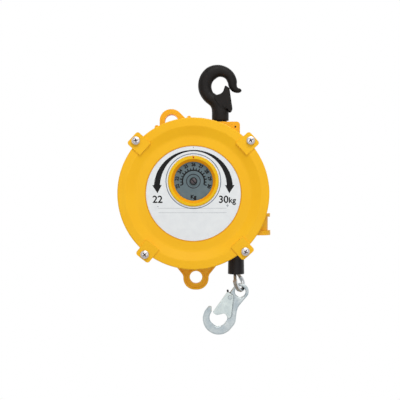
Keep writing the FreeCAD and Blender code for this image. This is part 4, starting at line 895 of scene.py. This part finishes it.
# %% Recesses, cuts and creases
def recess(name, arms, centre, front, depth, tilt, walls, taper=0.62):
    """A cutter for a driver's recess: bars through the middle, each length by width in millimetres."""
    shape = bmesh.new()
    for length, width in arms:
        corners = [(-length / 2, -width / 2), (length / 2, -width / 2), (length / 2, width / 2),
                   (-length / 2, width / 2)]
        rings = []
        for reach, share in ((front + 1, 1 + (1 - taper) / depth), (front - depth, taper)):
            ring = []
            for x, z in corners:
                spun = Matrix.Rotation(math.radians(tilt), 2) @ Vector((x * share, z * share))
                ring.append(shape.verts.new((centre.x + spun.x * MM, centre.y - reach * MM,
                                             centre.z + spun.y * MM)))
            rings.append(ring)
        shape.faces.new(rings[0])
        shape.faces.new(list(reversed(rings[1])))
        for step in range(4):
            after = (step + 1) % 4
            shape.faces.new((rings[0][step], rings[1][step], rings[1][after], rings[0][after]))
    mesh = mesh_of(shape, name)
    mesh.materials.append(walls)
    cutter = bpy.data.objects.new(name, mesh)
    bpy.context.collection.objects.link(cutter)
    return cutter


def cut(piece, cutter):
    """Take the cutter out of the piece for good, then throw the cutter away. The cut walls take the cutter's
    material, which here is painted shade.
    """
    change = piece.modifiers.new("cut", "BOOLEAN")
    change.object = cutter
    change.operation = "DIFFERENCE"
    change.solver = "EXACT"
    change.use_self = True
    change.material_mode = "TRANSFER"
    bpy.context.view_layer.update()
    result = bpy.data.meshes.new_from_object(piece.evaluated_get(bpy.context.evaluated_depsgraph_get()))
    piece.modifiers.remove(change)
    piece.data = result
    bpy.data.objects.remove(cutter)


def crease(piece, degrees=35):
    """Smooth the faces, and keep every edge sharp that bends more than this."""
    with bpy.context.temp_override(active_object=piece, selected_editable_objects=[piece]):
        bpy.ops.object.shade_smooth_by_angle(angle=math.radians(degrees))


print("cutting helpers ready")

# %% [markdown]
# Four pan-head screws hold the cover, one in each ear, over spring washers. The heads are domed,
# with a broad cross recess; each stands at its own angle, as hand-driven screws do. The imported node
# holds all four, so their places are found from its points rather than typed in.

# %% Places of the screws
def clusters(node, reach):
    """The middles of a node's separate solids, found by walking over its points."""
    found = []
    for point in (vertex.co for vertex in NODES[node].data.vertices):
        for group in found:
            if abs(point.x - group[0].x) < reach and abs(point.z - group[0].z) < reach:
                group[1].append(point.copy())
                break
        else:
            found.append((point.copy(), [point.copy()]))
    middles = []
    for _, points in found:
        xs = [point.x for point in points]
        zs = [point.z for point in points]
        middles.append(Vector(((min(xs) + max(xs)) / 2, 0, (min(zs) + max(zs)) / 2)))
    return middles


places = sorted(clusters("cover_screws", 0.02), key=lambda point: (point.x, point.z))
print("cover screws at", [tuple(round(v / MM, 1) for v in place) for place in places])

# %% Cover screws
HEAD_RADIUS = 6.0
HEAD_HEIGHT = 3.6
SHANK_RADIUS = 3.0
SHANK_LENGTH = 18
RECESS_DEPTH = 2.2
CROSS = ((6.6, 1.5), (1.5, 6.6))
SCREW_TURNS = (12, 38, 63, 30)


def pan_head(radius, height, shank, length):
    """Half the outline of a pan-head screw, from the tip of its shank to the middle of its head."""
    dome = [(radius * math.sin(angle), height * (0.45 + 0.55 * math.cos(angle)))
            for angle in (math.radians(90 - 10 * step) for step in range(10))]
    return [(0, -length), (shank - 0.4, -length), (shank, -length + 0.6), (shank, 0), (radius - 0.3, 0),
            (radius, 0.35)] + dome[1:-1] + [(0, height)]


seat = low("cover_screws").y + HEAD_HEIGHT * MM
for number, (place, tilt) in enumerate(zip(places, SCREW_TURNS)):
    centre = Vector((place.x, seat, place.z))
    name = f"cover_screw_{number}"
    mesh = turned(name, pan_head(HEAD_RADIUS, HEAD_HEIGHT, SHANK_RADIUS, SHANK_LENGTH), centre)
    screw = finished(name, mesh, SCREW_STEEL, "housing")
    # The recess walls take RECESS_SHADE, a painted shade.
    cut(screw, recess("cross", CROSS, centre, HEAD_HEIGHT, RECESS_DEPTH, tilt, RECESS_SHADE))
    crease(screw)
    if number == 0:
        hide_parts("cover_screws")
print("screw heads stand", round(HEAD_HEIGHT, 1), "mm proud of", round(seat / MM, 1))

# %% [markdown]
# The dial turns on a dark slotted screw. Its head is a stepped disc with a slot cut across it, and
# a dark line rings it. A red mark on the window's bezel shows where to read the scale. The planes they
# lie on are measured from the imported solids, so that ink sits on the metal.

# %% Middle of the dial and the red mark
def front_of(node, centre, inner, outer):
    """The plane nearest to the viewer of a node's points that lie between two radii, in millimetres."""
    near = []
    for vertex in NODES[node].data.vertices:
        away = math.hypot(vertex.co.x - centre.x, vertex.co.z - centre.z) / MM
        if inner <= away <= outer:
            near.append(vertex.co.y)
    return min(near)


BEZEL_INNER = 33
BEZEL_OUTER = 36.5
AXLE_PROFILE = [(0, -1.4), (5.5, -1.4), (5.5, -0.5), (4.9, 0), (4.2, 0.05), (4.0, -0.15), (3.6, 0.1),
                (0, 0.2)]
SLOT = ((12, 1.7),)
SLOT_TILT = -52
bezel_front = front_of("front_cover", DIAL, BEZEL_INNER, BEZEL_OUTER)
strip("reading_mark", [(-1.1, 33.0), (1.1, 33.0)], [(-1.1, 35.6), (1.1, 35.6)], DIAL, bezel_front,
      RED_PRINT, "housing")
axle_front = low("dial_axle").y
axle = Vector((DIAL.x, axle_front, DIAL.z))
screw = finished("dial_screw", turned("dial_screw", AXLE_PROFILE, axle), SCREW_DARK, "housing")
# The slot's walls take the black print material: painted shade inside the slot.
cut(screw, recess("slot", SLOT, axle, 0.2, 0.9, SLOT_TILT, PRINT, taper=1.0))
crease(screw)
ring_line("dial_screw_rim", 4.9, 1.3, DIAL, axle_front - 0.06 * MM, PRINT, "housing")
print("bezel front", round(bezel_front / MM, 2), "axle front", round(axle_front / MM, 2),
      "disc", round(DIAL_FRONT / MM, 2))

# %% [markdown]
# ## The forged suspension hook
#
# A forged hook has no flat faces: its section is round at the shank, deep and oval round the bowl,
# and thin at the lip. It is swept here through stations, each with a place, a half width in the
# plane of the hook and a half depth across it. The stations are the only shape data; everything
# between them is a smooth curve.

# %% A sweep with a changing section
def smooth_row(rows, between=10):
    """More rows between the given ones, on a curve that passes through all of them."""
    filled = []
    for index in range(len(rows) - 1):
        before = rows[max(index - 1, 0)]
        first, second = rows[index], rows[index + 1]
        after = rows[min(index + 2, len(rows) - 1)]
        for step in range(between):
            t = step / between
            filled.append([0.5 * (2 * b + (c - a) * t + (2 * a - 5 * b + 4 * c - d) * t * t
                                  + (3 * b - a - 3 * c + d) * t ** 3)
                           for a, b, c, d in zip(before, first, second, after)])
    filled.append(list(rows[-1]))
    return filled


print("a row of 3 becomes", len(smooth_row([(0,), (1,), (2,)])))


# %% An oval swept along rows
def oval_sweep(name, rows, material, body, around=40, fullness=2.3):
    """Sweep an oval along rows of x, z, half width and half depth, all in millimetres.

    A fullness of 2 is an ellipse; more makes the section squarer."""
    shape = bmesh.new()
    rings = []
    for index, (x, z, half_width, half_depth) in enumerate(rows):
        behind = rows[max(index - 1, 0)]
        ahead = rows[min(index + 1, len(rows) - 1)]
        along = Vector((ahead[0] - behind[0], ahead[1] - behind[1])).normalized()
        out = Vector((-along.y, along.x))
        ring = []
        for step in range(around):
            angle = 2 * math.pi * step / around
            wide = math.copysign(abs(math.cos(angle)) ** (2 / fullness), math.cos(angle)) * half_width
            deep = math.copysign(abs(math.sin(angle)) ** (2 / fullness), math.sin(angle)) * half_depth
            ring.append(shape.verts.new(((x + out.x * wide) * MM, deep * MM, (z + out.y * wide) * MM)))
        rings.append(ring)
    tube_faces(shape, rings, around)
    return finished(name, mesh_of(shape, name), material, body, smooth=True)


print("sweep helper ready")

# %% The hook, from its shank round the bowl to the lip
SHANK_PROFILE = [(0, 0), (10, 0), (10, 29.5), (0, 29.5)]
SHANK_FOOT = -96.5 * MM
HOOK_STATIONS = [
    (0, -67, 12.8, 12.4), (0, -60, 12.8, 12.4), (-0.2, -53, 12.7, 12.0), (-2.4, -45.5, 12.0, 11.2),
    (-8.4, -37.8, 10.0, 10.4), (-17.6, -30.6, 9.3, 9.6), (-22.6, -21.4, 10.0, 9.2), (-23.4, -11.5, 10.3, 9.0),
    (-20.2, -2.2, 10.6, 9.0), (-13.2, 5.0, 10.6, 8.9), (-4.0, 8.4, 9.4, 8.7), (5.6, 7.0, 8.4, 8.3),
    (13.6, 1.6, 7.6, 7.8), (17.9, -6.6, 7.3, 7.3), (18.9, -13.2, 6.5, 6.6), (21.4, -18.4, 5.4, 5.8),
    (25.4, -20.9, 4.2, 5.0), (29.0, -21.4, 3.4, 4.2), (31.0, -21.5, 2.5, 3.0), (32.3, -21.6, 0.8, 1.2)]
hook = oval_sweep("forged_hook", smooth_row(HOOK_STATIONS), FORGED, "hook")
shank = turned("hook_shank", SHANK_PROFILE, Vector((0, 0, 0)))
shank.transform(Matrix.Translation((0, 0, SHANK_FOOT)) @ Matrix.Rotation(math.radians(-90), 4, "X"))
shank = finished("hook_shank", shank, FORGED, "hook")
crease(shank)
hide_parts("top_hook")
print("hook spans", round((high("top_hook").z - low("top_hook").z) / MM, 1), "mm")

# %% [markdown]
# ## Small parts of the two hooks
#
# A black torsion spring holds the gate shut. Only its coils show, at the top of the gate's fold, so a
# ribbed bar stands for them: a turned profile with one rib a coil. The suspension hook's boss has a
# small grub screw in its front face that keeps the bush from turning.

# %% Gate spring
GATE_PIN = at_joint("gate_hinge")
LOAD_TILT = math.radians(39)


def from_gate_pin(x, z):
    """A place on the load hook, measured from the gate's pin along the hook's own tilted axes."""
    return Vector((GATE_PIN.x + (x * math.cos(LOAD_TILT) + z * math.sin(LOAD_TILT)) * MM, 0,
                   GATE_PIN.z + (z * math.cos(LOAD_TILT) - x * math.sin(LOAD_TILT)) * MM))


SPRING_HALF = 4.4
COIL_PITCH = 1.26
SPRING_PLACE = from_gate_pin(-8.6, 5.2)
coils = [(0, -SPRING_HALF)]
for turn in range(7):
    coils += [(radius, start + turn * COIL_PITCH) for radius, start in ((1.3, -4.4), (1.6, -4.0), (1.3, -3.4))]
coils.append((0, SPRING_HALF))
spring = finished("gate_spring", turned("gate_spring", coils, SPRING_PLACE, 24), FORGED, "load_gate")
print("gate spring at", tuple(round(v / MM, 1) for v in SPRING_PLACE))

# %% Grub screw
GRUB_X = 20.7 * MM
GRUB_Z = -81 * MM
GRUB_PROFILE = [(0, 0.08), (1.0, 0.08), (1.3, 0), (1.3, -3), (0, -3)]
boss_front = front_of("rear_case", Vector((GRUB_X, 0, GRUB_Z - 1 * MM)), 0, 14)
place = Vector((GRUB_X, boss_front, GRUB_Z))
grub = finished("grub_screw", turned("grub_screw", GRUB_PROFILE, place, 24), PRINT, "housing")
print("boss front", round(boss_front / MM, 1))
